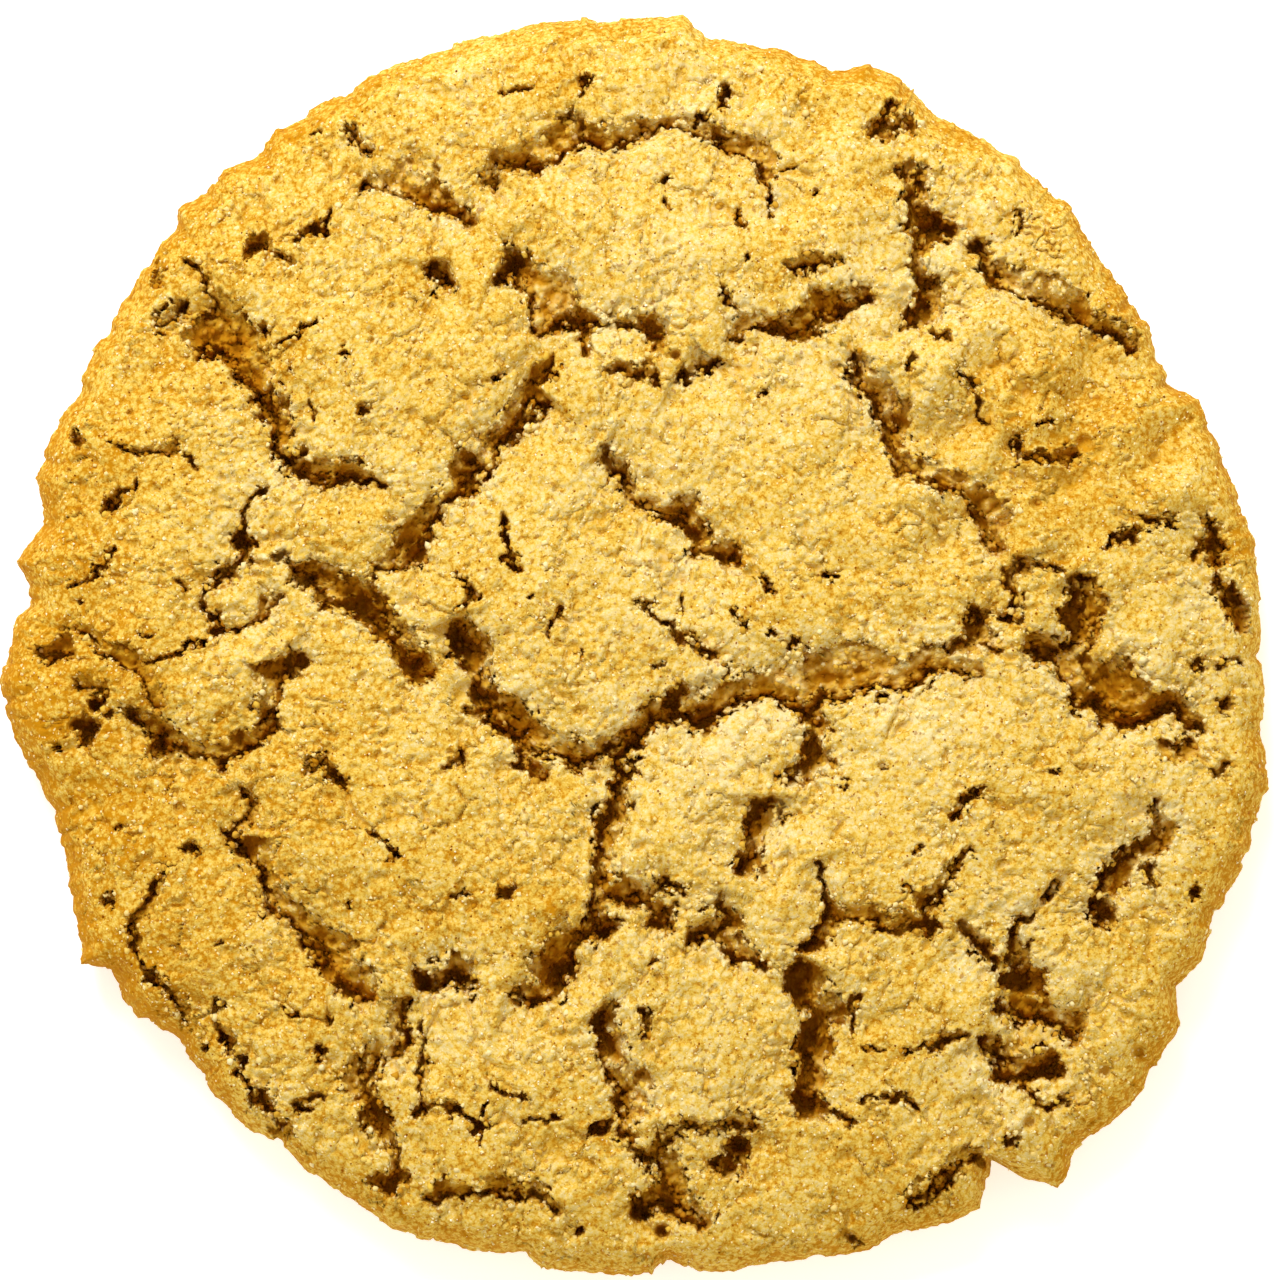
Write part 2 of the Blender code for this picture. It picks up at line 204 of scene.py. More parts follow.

# %% [markdown]
# ## The map of the cracks
#
# Each crack is a route of a few points with three sizes: the gap that opens between the plates, the sloping
# wall of crumb that shows beside it, and the step, which is how much higher the plate on the left of the
# route stands than the one on its right. With a negative step the right plate is the higher one. The wall
# belongs to the higher plate. Where the wall's width at a point differs from the crack's own, it is the
# point's third number, and where the gap's does, it is the fourth. The points were read off the real cookie,
# one crack after the other.

# %% Cracks, as gap, wall, step and route in millimetres
CRACKS = {
    # round the high middle plate
    "middle_south_west": (0.9, 0.9, 0.9, (
        (-13.0, 1.9, 0.4, 0.5), (-12.6, 1.0, 0.5, 1.1), (-12.4, 0.2, 0.5, 1.5), (-11.7, -0.6, 0.5, 1.5),
        (-11.4, -1.5, 0.4, 0.8), (-11.3, -2.4, 0.6, 0.5), (-11.0, -3.5, 1.0, 1.2), (-10.4, -4.6, 1.0, 1.2),
        (-9.5, -5.3, 1.2, 1.2), (-8.7, -6.2, 1.1, 1.2), (-7.9, -6.9, 1.0, 0.9), (-6.6, -7.3, 1.1, 0.5),
        (-5.4, -7.7, 1.2, 0.5), (-4.3, -8.0, 0.9, 0.8), (-3.0, -8.2, 0.6, 0.7), (-2.0, -8.4, 0.4, 0.5))),
    "middle_south": (0.8, 0.9, 1.0, (
        (-1.9, -8.3), (-0.8, -7.2, 0.6), (0.4, -6.3, 0.5, 0.9), (1.5, -5.4, 0.6, 0.9),
        (3.2, -5.1, 0.8, 0.9), (4.8, -5.6, 0.8, 1.2), (5.6, -4.8, 0.8, 0.7), (6.6, -4.1, 1.2, 0.5),
        (8.0, -3.7, 1.6, 0.6), (9.6, -3.6, 1.9, 0.3), (11.0, -4.3, 2.4, 0.5), (12.1, -4.5, 2.6, 1.0),
        (13.2, -3.8, 2.6, 0.9), (14.4, -3.9, 2.6, 0.4), (15.4, -3.3, 3.0, 0.4), (16.8, -3.2, 2.8, 0.7),
        (18.0, -3.4, 2.4, 0.3), (19.3, -3.0, 2.0, 0.5), (20.4, -2.3, 1.6, 0.7), (21.4, -1.9, 1.4, 0.4),
        (23.0, -2.2, 1.0, 0.25), (24.6, -2.3, 0.6, 0.2))),
    "middle_ramp": (0.8, 0.6, 0.1, (
        (-8.3, -7.2, 0.4, 0.6), (-8.0, -8.0, 0.6, 0.9), (-7.2, -8.9, 0.5, 0.6), (-6.5, -9.5, 0.3, 0.5),
        (-6.1, -9.9, 0.1, 0.3))),
    "middle_lip_notch": (1.1, 0.2, 0.0, (
        (3.2, -2.2, 0.2, 0.3), (2.9, -3.4, 0.4, 1.1), (2.4, -5.0, 0.4, 1.5))),
    "middle_lip_split": (0.35, 0.1, 0.0, ((-1.3, -6.4, 0.1, 0.4), (-1.1, -6.9, 0.1, 0.3))),
    "middle_diagonal": (0.6, 0.4, 0.15, (
        (-2.7, 13.6, 0.2, 0.5), (-1.9, 12.9, 0.2, 0.5), (-1.5, 12.3, 0.3, 0.6), (-1.0, 11.5, 0.4, 0.8),
        (-0.6, 10.9, 0.4, 0.7), (-0.1, 10.2, 0.2, 0.35), (0.8, 9.3, 0.6, 0.6), (1.8, 9.0, 0.8, 0.3),
        (2.9, 8.7, 0.8, 0.8), (3.5, 8.0, 0.8, 0.5), (4.1, 7.3, 0.5, 0.9), (4.4, 6.3, 0.4, 0.4),
        (5.3, 6.1, 0.6, 0.6), (6.3, 5.9, 0.7, 0.7), (7.1, 5.6, 0.4, 0.5), (7.8, 5.4, 0.1, 0.25))),
    "middle_fleck_east": (0.4, 0.1, 0.0, (
        (8.6, 5.0, 0.1, 0.5), (9.1, 4.3, 0.1, 0.4), (9.3, 3.7, 0.1, 0.35), (10.0, 3.6, 0.1, 0.2))),
    "middle_fleck_far": (0.45, 0.1, 0.0, ((12.8, 4.7), (14.3, 4.2))),
    "middle_hair_west": (0.3, 0.1, 0.1, (
        (-9.3, 9.3, 0.1, 0.15), (-9.0, 8.4), (-8.9, 7.3), (-8.6, 6.3), (-9.0, 5.8), (-8.4, 5.8),
        (-8.2, 5.2, 0.1, 0.4), (-7.7, 4.9, 0.1, 0.2))),
    "middle_hair_south": (0.3, 0.15, 0.1, (
        (-0.3, 3.0, 0.1, 0.1), (1.1, 2.5, 0.1, 0.35), (1.8, 1.6, 0.1, 0.2), (2.4, 1.4),
        (3.0, 0.5, 0.2, 0.4), (4.0, 0.0, 0.2, 0.4), (4.6, -0.6, 0.2, 0.4), (5.4, -0.9), (5.9, -1.2))),
    "middle_hair_low": (0.2, 0.1, 0.1, ((-4.9, 2.6, 0.1, 0.4), (-5.6, 1.9), (-5.9, 1.0), (-6.1, 0.2))),
    "middle_hair_right": (0.35, 0.1, 0.0, ((6.7, 2.7), (7.0, 1.9), (7.6, 1.2), (8.0, 0.9))),
    "middle_hair_left": (0.3, 0.1, 0.0, (
        (-12.8, 4.9), (-12.0, 4.2), (-11.7, 3.4, 0.1, 0.5), (-12.0, 2.8), (-12.8, 2.5))),
    "middle_east_low": (0.8, 0.4, 0.1, (
        (24.2, 2.8), (23.8, 1.6), (23.2, 0.5), (22.4, -0.3), (22.3, -1.2, 0.3, 0.4))),
    "middle_east_hair": (0.3, 0.1, 0.1, ((23.6, 0.3), (24.6, -0.1), (25.9, -0.6))),
    "middle_lip_fleck": (0.5, 0.1, 0.0, ((10.6, 0.1), (11.4, -0.3))),
    "middle_south_west_spur": (0.3, 0.1, 0.1, ((-12.2, -4.5), (-11.2, -4.9), (-10.6, -5.2))),
    "middle_south_band": (0.35, 0.4, 0.2, ((-5.0, -8.6), (-3.8, -8.8), (-2.4, -9.0))),
    "middle_lip_split_low": (0.3, 0.1, 0.0, ((-0.9, -8.2), (0.0, -8.1), (0.7, -7.8))),
    "middle_diagonal_spur": (0.4, 0.2, 0.0, ((4.9, 8.6), (4.7, 7.8), (4.3, 7.2))),
    "middle_hair_fork": (0.25, 0.1, 0.0, ((-7.1, 3.7), (-7.4, 3.0))),
    "middle_hair_upright": (0.15, 0.1, 0.0, ((3.3, 3.6), (3.2, 1.8))),
    "middle_fleck_right": (0.35, 0.1, 0.0, ((9.3, 0.9), (9.9, 0.3))),
    "middle_fleck_left": (0.25, 0.1, 0.0, ((-3.6, -0.2), (-3.7, -1.0))),
    "middle_fleck_low": (0.3, 0.1, 0.0, ((1.1, -2.2), (1.5, -1.8), (2.3, -1.2))),
    # the south
    "south_stem": (0.8, 0.5, 0.2, (
        (-1.9, -8.3, 0.4, 0.6), (-1.1, -9.3, 0.5, 1.0), (-1.5, -10.8, 0.6, 0.8), (-2.6, -13.2),
        (-2.8, -15.5), (-2.9, -18.5, 0.5, 0.5), (-2.6, -19.6, 0.6, 0.9), (-1.8, -20.2, 0.4, 1.3),
        (-1.4, -20.6, 0.2, 0.6))),
    "south_fork": (0.8, 0.6, -0.5, (
        (-2.6, -20.1, 0.5, 1.0), (-3.6, -20.6, 0.5, 0.6), (-4.5, -21.2, 0.8, 0.7), (-4.7, -22.2, 1.2, 1.1),
        (-5.3, -23.2, 1.2, 1.4), (-5.6, -24.4, 1.0, 0.9), (-6.3, -24.9, 0.8, 0.4), (-7.3, -25.1, 0.6, 0.9),
        (-8.2, -24.7, 0.5, 0.7), (-9.1, -24.4, 0.2, 0.3))),
    "south_fork_down": (0.7, 0.6, -0.2, (
        (-15.7, -24.4, 0.4, 1.0), (-15.9, -25.2, 0.6, 0.5), (-16.0, -26.0, 1.2, 0.35),
        (-16.0, -27.2, 1.2, 0.5), (-15.7, -28.0, 0.8, 0.6), (-16.8, -28.8, 0.6, 0.25),
        (-18.0, -28.9, 0.8, 0.5), (-18.4, -29.7, 0.9, 0.7), (-18.6, -30.7, 0.8, 0.6),
        (-18.3, -31.6, 0.6, 0.6), (-17.8, -32.6, 0.8, 1.1), (-17.5, -33.7, 0.6, 1.0),
        (-17.0, -34.7, 0.4, 0.7), (-16.7, -36.0, 0.3, 0.2), (-16.3, -37.4, 0.6, 0.6),
        (-16.9, -37.9, 0.9, 1.2), (-17.2, -38.8, 0.9, 1.0))),
    "south_fork_spur": (0.4, 0.2, 0.0, ((-17.9, -33.6), (-19.3, -34.0, 0.1, 0.3))),
    "south_middle": (0.7, 0.9, 0.1, (
        (-3.2, -25.5, 0.3, 0.4), (-2.6, -26.2, 0.5, 1.5), (-2.4, -27.3, 0.6, 1.2), (-2.0, -28.4, 0.6, 0.9),
        (-2.3, -29.3, 0.6, 0.4), (-2.0, -30.2, 1.0, 0.35), (-1.4, -30.9, 1.3, 0.6), (-1.2, -32.0, 1.3, 1.0),
        (-1.2, -33.0, 1.2, 0.7), (-1.1, -34.1, 0.6, 0.4), (0.2, -35.4, 0.4, 0.4), (1.3, -36.3, 0.6, 0.7),
        (1.8, -37.4, 0.8, 0.7), (2.3, -38.6, 0.8, 0.5), (2.8, -39.8, 0.8, 0.6))),
    "south_branch": (0.5, 0.3, 0.5, (
        (1.2, -35.9), (1.6, -34.9, 0.2, 0.5), (2.5, -34.3, 0.3, 0.5), (4.2, -33.9, 0.4, 0.5),
        (5.4, -33.9, 0.2, 0.2), (6.8, -33.9, 0.5, 0.9), (8.3, -33.6, 0.4, 0.4), (9.1, -33.3, 0.2, 0.3))),
    "south_branch_spur": (0.9, 0.4, 0.1, (
        (6.9, -34.0), (6.9, -34.9, 0.4, 1.2), (6.3, -36.0, 0.3, 0.8), (6.1, -36.6, 0.3, 0.9),
        (5.9, -37.5, 0.2, 0.5))),
    "south_pocket": (1.1, 0.6, 0.4, (
        (-0.5, -39.9), (1.5, -39.4), (3.6, -40.0, 0.6, 0.8), (4.6, -40.6, 0.8, 0.5),
        (5.0, -41.3, 0.4, 0.5))),
    "south_ledge": (0.4, 0.4, 0.6, (
        (-15.1, -38.5, 0.2, 0.3), (-14.0, -39.0, 0.3, 0.5), (-13.2, -38.4, 0.4, 0.6),
        (-11.2, -38.4, 0.3, 0.4), (-9.6, -38.5, 0.5, 0.7), (-8.3, -38.5, 0.4, 0.5), (-7.0, -38.6, 0.5, 0.7),
        (-5.6, -39.1, 0.3, 0.3), (-5.2, -39.9, 0.2, 0.4))),
    "south_plate_hair": (0.35, 0.15, 0.1, (
        (-14.9, -26.0, 0.1, 0.2), (-14.8, -28.5, 0.1, 0.3), (-14.9, -29.4, 0.2, 0.4),
        (-15.0, -30.8, 0.2, 0.45), (-14.8, -31.8, 0.2, 0.4), (-14.6, -32.4, 0.2, 0.5),
        (-13.4, -32.0, 0.1, 0.25), (-12.6, -32.8, 0.2, 0.35), (-11.9, -33.1, 0.1, 0.3),
        (-11.2, -33.4, 0.2, 0.7), (-11.0, -34.3, 0.2, 0.6), (-10.5, -35.1, 0.1, 0.3))),
    "south_plate_fork": (0.3, 0.1, 0.1, ((-10.9, -33.0), (-10.6, -31.9))),
    "south_plate_curl": (0.25, 0.1, 0.1, (
        (-10.1, -30.2, 0.1, 0.2), (-9.7, -30.9, 0.1, 0.35), (-9.2, -31.4), (-8.2, -31.4), (-7.0, -32.2))),
    "south_hair": (0.3, 0.1, 0.0, ((0.3, -25.2), (0.7, -26.0), (0.7, -27.2), (0.7, -27.8))),
    "south_fork_west": (0.9, 0.5, -0.5, (
        (-10.6, -23.8, 0.5, 0.2), (-11.4, -23.9, 0.9, 0.7), (-12.4, -23.4, 0.9, 0.9),
        (-13.5, -23.6, 0.6, 0.5), (-14.6, -23.6, 0.5, 1.0), (-15.5, -23.9, 0.4, 1.5))),
    "south_fork_side": (0.8, 0.3, 0.1, ((-18.6, -29.6), (-19.7, -29.8, 0.2, 0.7))),
    "south_plate_side": (0.35, 0.1, 0.0, ((-14.9, -32.5), (-15.7, -32.9))),
    "south_plate_hair_low": (0.25, 0.1, 0.1, ((-8.0, -33.3), (-6.5, -33.2), (-5.0, -33.0))),
    "south_middle_pocket": (0.7, 0.3, 0.1, ((-2.8, -33.4), (-2.3, -34.4))),
    "south_rim_fleck": (0.45, 0.1, 0.0, ((-4.3, -41.0), (-3.5, -40.9))),
    # the south east, broken small
    "south_east_arc": (0.6, 0.5, 0.3, (
        (-2.6, -18.0), (-0.3, -17.9, 0.8, 0.7), (1.0, -18.7, 0.8, 0.4), (1.6, -19.2, 0.4, 0.7),
        (2.1, -19.7, 0.3, 0.7), (2.6, -20.6, 0.1, 0.35))),
    "south_east_arc_pocket": (0.5, 0.3, 0.1, ((0.8, -17.4), (1.8, -16.9), (2.8, -17.5), (3.1, -18.2))),
    "south_east_run": (0.6, 0.5, 0.3, (
        (3.3, -20.5, 0.5, 0.5), (4.2, -20.6, 0.6, 0.6), (5.1, -20.2, 0.8, 0.5), (5.5, -21.0, 0.5, 0.5),
        (6.1, -21.5, 0.6, 0.6), (6.8, -21.9, 0.8, 0.9), (7.5, -21.9, 0.8, 0.4), (8.6, -22.3, 0.5, 0.4),
        (9.5, -22.6, 0.2, 0.2))),
    "south_east_upper": (0.7, 0.9, 0.1, (
        (9.0, -10.4, 0.2, 0.4), (9.0, -11.3, 0.6, 0.8), (8.5, -12.2, 0.9, 0.8), (8.0, -13.0, 1.2, 0.7),
        (8.0, -14.0, 1.0, 0.7), (8.3, -14.9, 0.6, 0.5), (7.3, -15.3, 0.6, 1.1), (6.9, -16.1, 0.3, 0.8))),
    "south_east_upper_end": (0.6, 0.3, 0.1, (
        (6.1, -17.0, 0.2, 0.6), (5.8, -18.2, 0.3, 0.35), (6.1, -19.3, 0.5, 0.6), (5.4, -20.2, 0.3, 0.5))),
    "south_east_middle": (0.8, 0.5, 0.1, (
        (12.1, -4.7, 0.3, 0.9), (12.4, -5.8, 0.4, 0.6), (12.4, -7.0, 0.6, 1.0), (12.2, -8.2, 0.4, 0.8),
        (11.5, -8.9, 0.3, 0.8), (11.0, -9.7, 0.3, 0.8), (10.7, -10.4, 0.1, 0.3))),
    "south_east_middle_spur": (0.3, 0.2, 0.0, ((12.9, -7.6), (13.8, -8.2), (14.0, -8.8))),
    "south_east_long": (0.6, 0.5, 0.2, (
        (12.4, -14.9, 0.1, 0.2), (12.8, -15.9, 0.1, 0.3), (12.9, -17.0, 0.1, 0.45), (13.1, -17.9, 0.2, 0.5),
        (13.3, -19.0, 0.3, 0.7), (12.6, -19.9, 0.5, 0.9), (11.9, -20.8, 0.6, 1.2),
        (12.0, -21.8, 0.6, 0.9))),
    "south_east_long_middle": (1.4, 1.0, 0.2, (
        (12.0, -21.8, 0.6, 0.7), (11.6, -22.8, 1.0, 1.6), (11.3, -23.8, 1.0, 1.9), (11.7, -24.9, 0.8, 0.8),
        (12.6, -25.9, 1.0, 1.0), (12.0, -27.2, 1.2, 1.4), (11.9, -28.6, 1.2, 1.6), (11.9, -30.0, 0.9, 1.2),
        (11.5, -31.2, 0.7, 0.9), (12.0, -32.3, 0.6, 1.5), (11.7, -33.4, 0.2, 0.7))),
    "south_east_long_side": (0.5, 0.3, 0.0, ((13.2, -26.2), (14.2, -25.8), (14.7, -25.2))),
    "south_east_long_foot": (0.45, 0.2, 0.1, (
        (13.3, -32.4, 0.1, 0.3), (14.1, -33.0), (15.1, -33.4), (15.8, -33.2, 0.1, 0.3))),
    "south_east_long_hair": (0.25, 0.1, 0.0, ((15.7, -24.1), (15.2, -25.6), (15.4, -27.6))),
    "south_east_shelf": (0.45, 0.4, 0.3, (
        (13.4, -19.3, 0.3, 0.3), (15.0, -19.0, 0.7, 0.2), (16.3, -19.6, 0.9, 0.3), (17.4, -20.0, 0.6, 0.5),
        (18.5, -19.7, 0.5, 0.6), (19.5, -19.5, 0.4, 0.6), (20.3, -19.6, 0.4, 1.0), (20.6, -18.8, 0.8, 0.5),
        (21.5, -17.4, 0.9, 0.7), (21.8, -16.5, 0.6, 0.5), (22.4, -15.7, 0.3, 0.7), (23.1, -15.1, 0.2, 0.6),
        (23.2, -14.1, 0.1, 0.4))),
    "south_east_shelf_end": (0.5, 0.3, 0.2, (
        (21.9, -12.4, 0.4, 0.15), (23.1, -11.2, 0.2, 0.6), (23.8, -10.6), (24.6, -9.9, 0.1, 0.2))),
    "south_east_twin": (0.6, 0.4, 0.2, (
        (22.3, -19.4, 0.1, 0.2), (23.4, -20.3, 0.5, 0.5), (23.7, -21.2, 0.6, 0.8), (24.3, -22.1, 0.5, 0.6),
        (25.4, -22.9, 0.3, 0.6))),
    "south_east_pocket": (0.8, 0.6, 0.4, (
        (28.3, -18.9, 0.1, 0.7), (27.6, -19.3, 0.1, 0.2), (26.5, -19.7, 0.2, 0.7), (26.5, -20.7, 0.3, 0.8),
        (26.5, -21.7, 0.5, 0.7), (26.4, -22.5, 1.0, 1.3), (26.4, -23.4, 1.4, 2.0),
        (26.1, -24.4, 1.2, 1.6))),
    "south_east_ledge": (1.0, 0.8, 0.6, (
        (24.2, -27.2, 0.6, 0.6), (24.8, -28.2, 0.8, 0.8), (25.4, -29.1, 1.0, 1.1), (25.8, -30.2, 1.2, 1.3),
        (27.2, -30.5, 1.2, 0.9), (28.6, -30.0, 1.0, 1.0), (30.0, -29.1, 0.6, 0.9))),
    "south_east_ledge_west": (0.4, 0.2, 0.2, (
        (18.6, -28.3, 0.1, 0.3), (20.0, -28.1, 0.1, 0.4), (21.3, -28.0, 0.3, 0.9), (22.4, -27.5, 0.3, 0.5),
        (23.6, -27.2, 0.3, 0.3))),
    "south_east_ledge_hair": (0.2, 0.1, 0.1, ((15.8, -27.9), (16.5, -28.3), (17.5, -28.5))),
    "south_east_shelf_back": (0.6, 1.1, 0.5, ((24.8, -25.2), (27.0, -26.2), (29.4, -26.8), (31.4, -27.6))),
    "south_east_low": (0.35, 0.3, 0.3, ((27.5, -31.4), (28.5, -32.4), (30.6, -31.8))),
    "south_east_low_hair": (0.25, 0.1, 0.1, ((15.4, -31.9), (17.2, -31.6), (18.8, -31.7), (20.0, -32.7))),
    "south_east_rim": (0.5, 0.5, 0.5, (
        (18.6, -39.5), (19.8, -38.8), (21.2, -38.2), (21.9, -37.0), (22.8, -36.4), (24.6, -36.0))),
    "south_east_rim_low": (0.5, 0.5, 0.4, ((14.9, -42.0), (15.7, -41.5))),
    "south_east_rim_fleck": (0.4, 0.2, 0.2, ((25.6, -34.8), (27.0, -35.0))),
    "south_east_spot": (0.7, 0.2, 0.1, ((28.4, -17.1), (29.2, -17.8))),
    "south_east_fleck": (0.4, 0.1, 0.0, ((17.0, -8.9), (17.5, -8.3))),
    "south_east_fleck_high": (0.3, 0.1, 0.0, ((14.2, -9.6), (15.2, -10.0))),
    "south_east_fleck_middle": (0.3, 0.1, 0.0, ((19.8, -13.8), (19.6, -14.9))),
    "south_east_fleck_low": (0.45, 0.1, 0.0, ((18.5, -16.8), (18.8, -17.6))),
    "south_east_fleck_left": (0.45, 0.1, 0.0, ((0.8, -22.2), (1.6, -22.3))),
    # the south west
    "south_west": (0.8, 1.0, 0.6, (
        (-27.4, -9.6, 0.2, 0.3), (-27.1, -10.6, 0.3, 0.3), (-27.0, -12.0, 0.4, 0.15),
        (-28.4, -13.4, 0.4, 0.6), (-27.9, -14.1, 1.0, 0.8), (-27.3, -14.9, 1.3, 0.8),
        (-26.6, -15.4, 1.3, 0.4), (-26.0, -16.2, 1.0, 0.5), (-25.7, -17.1, 0.7, 0.7),
        (-25.3, -18.0, 1.2, 0.4), (-24.9, -18.9, 1.6, 0.3), (-24.4, -19.6, 1.6, 0.6),
        (-23.6, -20.1, 1.6, 0.3), (-23.0, -20.8, 1.6, 0.6), (-22.2, -21.5, 1.4, 0.9),
        (-21.5, -22.1, 1.2, 0.9), (-20.9, -23.0, 0.9, 0.7), (-20.3, -23.7, 0.7, 0.8),
        (-19.7, -24.2, 0.8, 1.0), (-18.8, -24.7, 0.6, 0.7), (-18.1, -25.1, 0.3, 0.4))),
    "south_west_rim": (0.5, 0.3, 0.2, (
        (-32.5, -15.3, 0.2, 0.2), (-33.2, -16.1, 0.3, 0.35), (-33.6, -17.1, 0.5, 0.3),
        (-34.4, -18.5, 0.5, 0.3), (-35.1, -19.3, 0.2, 0.3), (-35.2, -20.2, 0.2, 0.35),
        (-35.2, -20.9, 0.2, 0.5), (-34.8, -22.0, 0.2, 0.2), (-34.4, -22.9, 0.2, 0.5),
        (-34.0, -23.6, 0.3, 0.7), (-33.3, -24.0, 0.2, 0.5), (-32.5, -24.4, 0.4, 0.2),
        (-32.0, -25.3, 0.5, 0.6), (-31.5, -25.9, 0.3, 0.5), (-30.8, -26.6, 0.3, 0.2))),
    "south_west_low": (0.6, 0.3, 0.2, (
        (-29.3, -24.5, 0.1, 0.3), (-29.3, -25.2, 0.2, 0.5), (-29.6, -26.0, 0.1, 0.2),
        (-29.2, -26.7, 0.1, 0.35), (-28.8, -27.4, 0.2, 0.4), (-28.5, -28.1, 0.3, 0.8),
        (-28.0, -28.8, 0.1, 0.3), (-27.5, -29.4, 0.2, 0.8), (-27.0, -29.8, 0.1, 0.3))),
    "south_west_plate_hair": (0.4, 0.15, 0.1, (
        (-23.2, -9.2, 0.2, 0.2), (-22.6, -8.8, 0.4, 0.4), (-21.8, -8.6, 0.4, 0.4), (-21.0, -8.9, 0.2, 0.5),
        (-20.3, -9.6, 0.2, 0.4), (-19.8, -10.2, 0.1, 0.2))),
    "south_west_plate_fleck": (0.35, 0.15, 0.1, ((-13.2, -17.8), (-11.4, -17.2))),
    "south_west_plate_fleck_right": (0.35, 0.15, 0.1, ((-9.8, -17.5), (-8.0, -17.1))),
    "south_west_low_fleck": (0.2, 0.1, 0.0, ((-24.9, -25.0), (-24.1, -25.7), (-23.3, -26.0))),
    "south_west_low_hair": (0.4, 0.1, 0.0, (
        (-21.9, -27.6, 0.1, 0.2), (-22.0, -28.2, 0.2, 0.7), (-22.0, -29.0, 0.1, 0.2),
        (-21.9, -29.6, 0.1, 0.35))),
    "south_west_low_crease": (0.4, 0.2, 0.1, (
        (-24.0, -32.2, 0.2, 0.2), (-23.4, -32.4, 0.3, 0.5), (-22.8, -32.2, 0.2, 0.4),
        (-21.8, -31.9, 0.3, 0.2), (-21.6, -32.2, 0.1, 0.15))),
    "south_west_rim_fleck": (0.2, 0.1, 0.0, ((-29.4, -21.0), (-28.6, -20.7))),
    "south_west_rim_high": (0.4, 0.2, 0.1, (
        (-31.9, -14.1, 0.1, 0.2), (-31.0, -14.5, 0.3, 0.5), (-30.2, -14.8, 0.1, 0.2))),
    "south_west_rim_spot": (0.5, 0.2, 0.0, (
        (-37.4, -18.1, 0.1, 0.3), (-36.6, -18.2, 0.2, 0.5), (-36.3, -18.1, 0.1, 0.2))),
    "south_west_low_spur": (0.3, 0.1, 0.0, ((-29.3, -25.3), (-28.8, -25.7, 0.1, 0.2))),
    "south_west_low_end": (0.6, 0.3, 0.2, (
        (-28.3, -30.4, 0.2, 0.2), (-27.7, -30.4, 0.2, 0.4), (-27.2, -31.2, 0.2, 0.3),
        (-26.5, -31.9, 0.4, 0.6), (-25.8, -32.5, 0.4, 0.8), (-25.4, -33.4, 0.2, 0.4),
        (-25.1, -34.1, 0.2, 0.7), (-24.9, -35.0, 0.2, 0.5))),
    "south_west_low_dot": (0.3, 0.1, 0.0, ((-30.4, -28.2), (-29.9, -28.5))),
    "south_west_low_nick": (0.2, 0.1, 0.0, ((-21.4, -25.6), (-21.3, -26.8))),
    "south_west_plate_hair_low": (0.25, 0.1, 0.1, (
        (-18.9, -13.0, 0.1, 0.15), (-17.9, -13.6, 0.1, 0.25), (-17.2, -14.0, 0.1, 0.3),
        (-16.6, -14.3, 0.1, 0.5), (-16.3, -13.9, 0.1, 0.2))),
    "south_west_plate_dot": (0.3, 0.1, 0.0, ((-20.1, -17.8, 0.1, 0.2), (-19.8, -18.6, 0.1, 0.35))),
    "south_west_high_fleck": (0.3, 0.1, 0.0, ((-36.1, -12.5, 0.1, 0.2), (-36.1, -13.1, 0.1, 0.35))),
    "south_west_middle_fleck": (0.3, 0.1, 0.0, ((-26.3, -18.7), (-25.7, -19.2))),
    # the east
    "east": (0.8, 0.8, 0.3, (
        (15.5, 20.5, 0.3, 0.3), (15.1, 19.1, 0.8, 0.6), (15.6, 18.0, 1.0, 0.5), (16.5, 17.0, 1.3, 0.8),
        (17.1, 15.6, 0.9, 0.9), (17.4, 14.4, 0.6, 0.9), (18.1, 13.2, 0.5, 0.7), (18.6, 12.0, 0.8, 0.8),
        (19.4, 11.8, 0.9, 0.5), (20.6, 11.1, 0.9, 0.4), (22.2, 10.3, 0.9, 0.5), (23.2, 9.6, 1.2, 0.6),
        (24.0, 8.7, 1.5, 0.6), (24.3, 7.6, 1.6, 0.7), (24.7, 6.5, 1.2, 0.5), (26.2, 6.6, 0.3, 0.2))),
    "east_hollow": (0.9, 1.6, 0.7, (
        (26.5, -0.6, 0.4, 0.3), (27.8, -0.4, 0.6, 0.8), (28.8, -0.8, 0.8, 0.8), (29.6, -1.5, 1.4, 0.5),
        (30.3, -2.8, 2.4, 0.4), (30.7, -4.2, 2.8, 0.6), (32.0, -4.2, 2.8, 1.1), (32.8, -5.0, 2.6, 0.9),
        (34.3, -5.6, 2.4, 1.0), (35.6, -5.3, 1.8, 1.1), (36.8, -5.1, 1.2, 1.2), (37.9, -4.8, 0.8, 0.9),
        (38.6, -5.6, 0.6, 0.6), (40.1, -5.2, 0.4, 0.7))),
    "east_rim": (0.6, 0.4, 0.1, (
        (36.2, -10.6, 0.2, 0.4), (36.1, -12.0, 0.2, 0.5), (36.4, -12.9, 0.4, 0.9), (35.8, -13.8, 0.5, 0.9),
        (34.9, -14.2, 0.4, 0.5), (33.8, -14.7, 0.5, 0.6), (33.0, -15.6, 0.7, 0.9), (32.5, -16.7, 0.7, 0.7),
        (31.7, -17.3, 0.3, 0.4))),
    "east_rim_end": (0.8, 0.3, 0.0, ((32.4, -17.6), (32.3, -18.9, 0.2, 0.8), (31.8, -20.0, 0.1, 0.5))),
    "east_rim_spur": (0.5, 0.2, 0.1, ((35.2, -15.2), (36.0, -16.0), (36.8, -17.3, 0.1, 0.2))),
    "east_rim_groove": (0.7, 0.3, -0.2, (
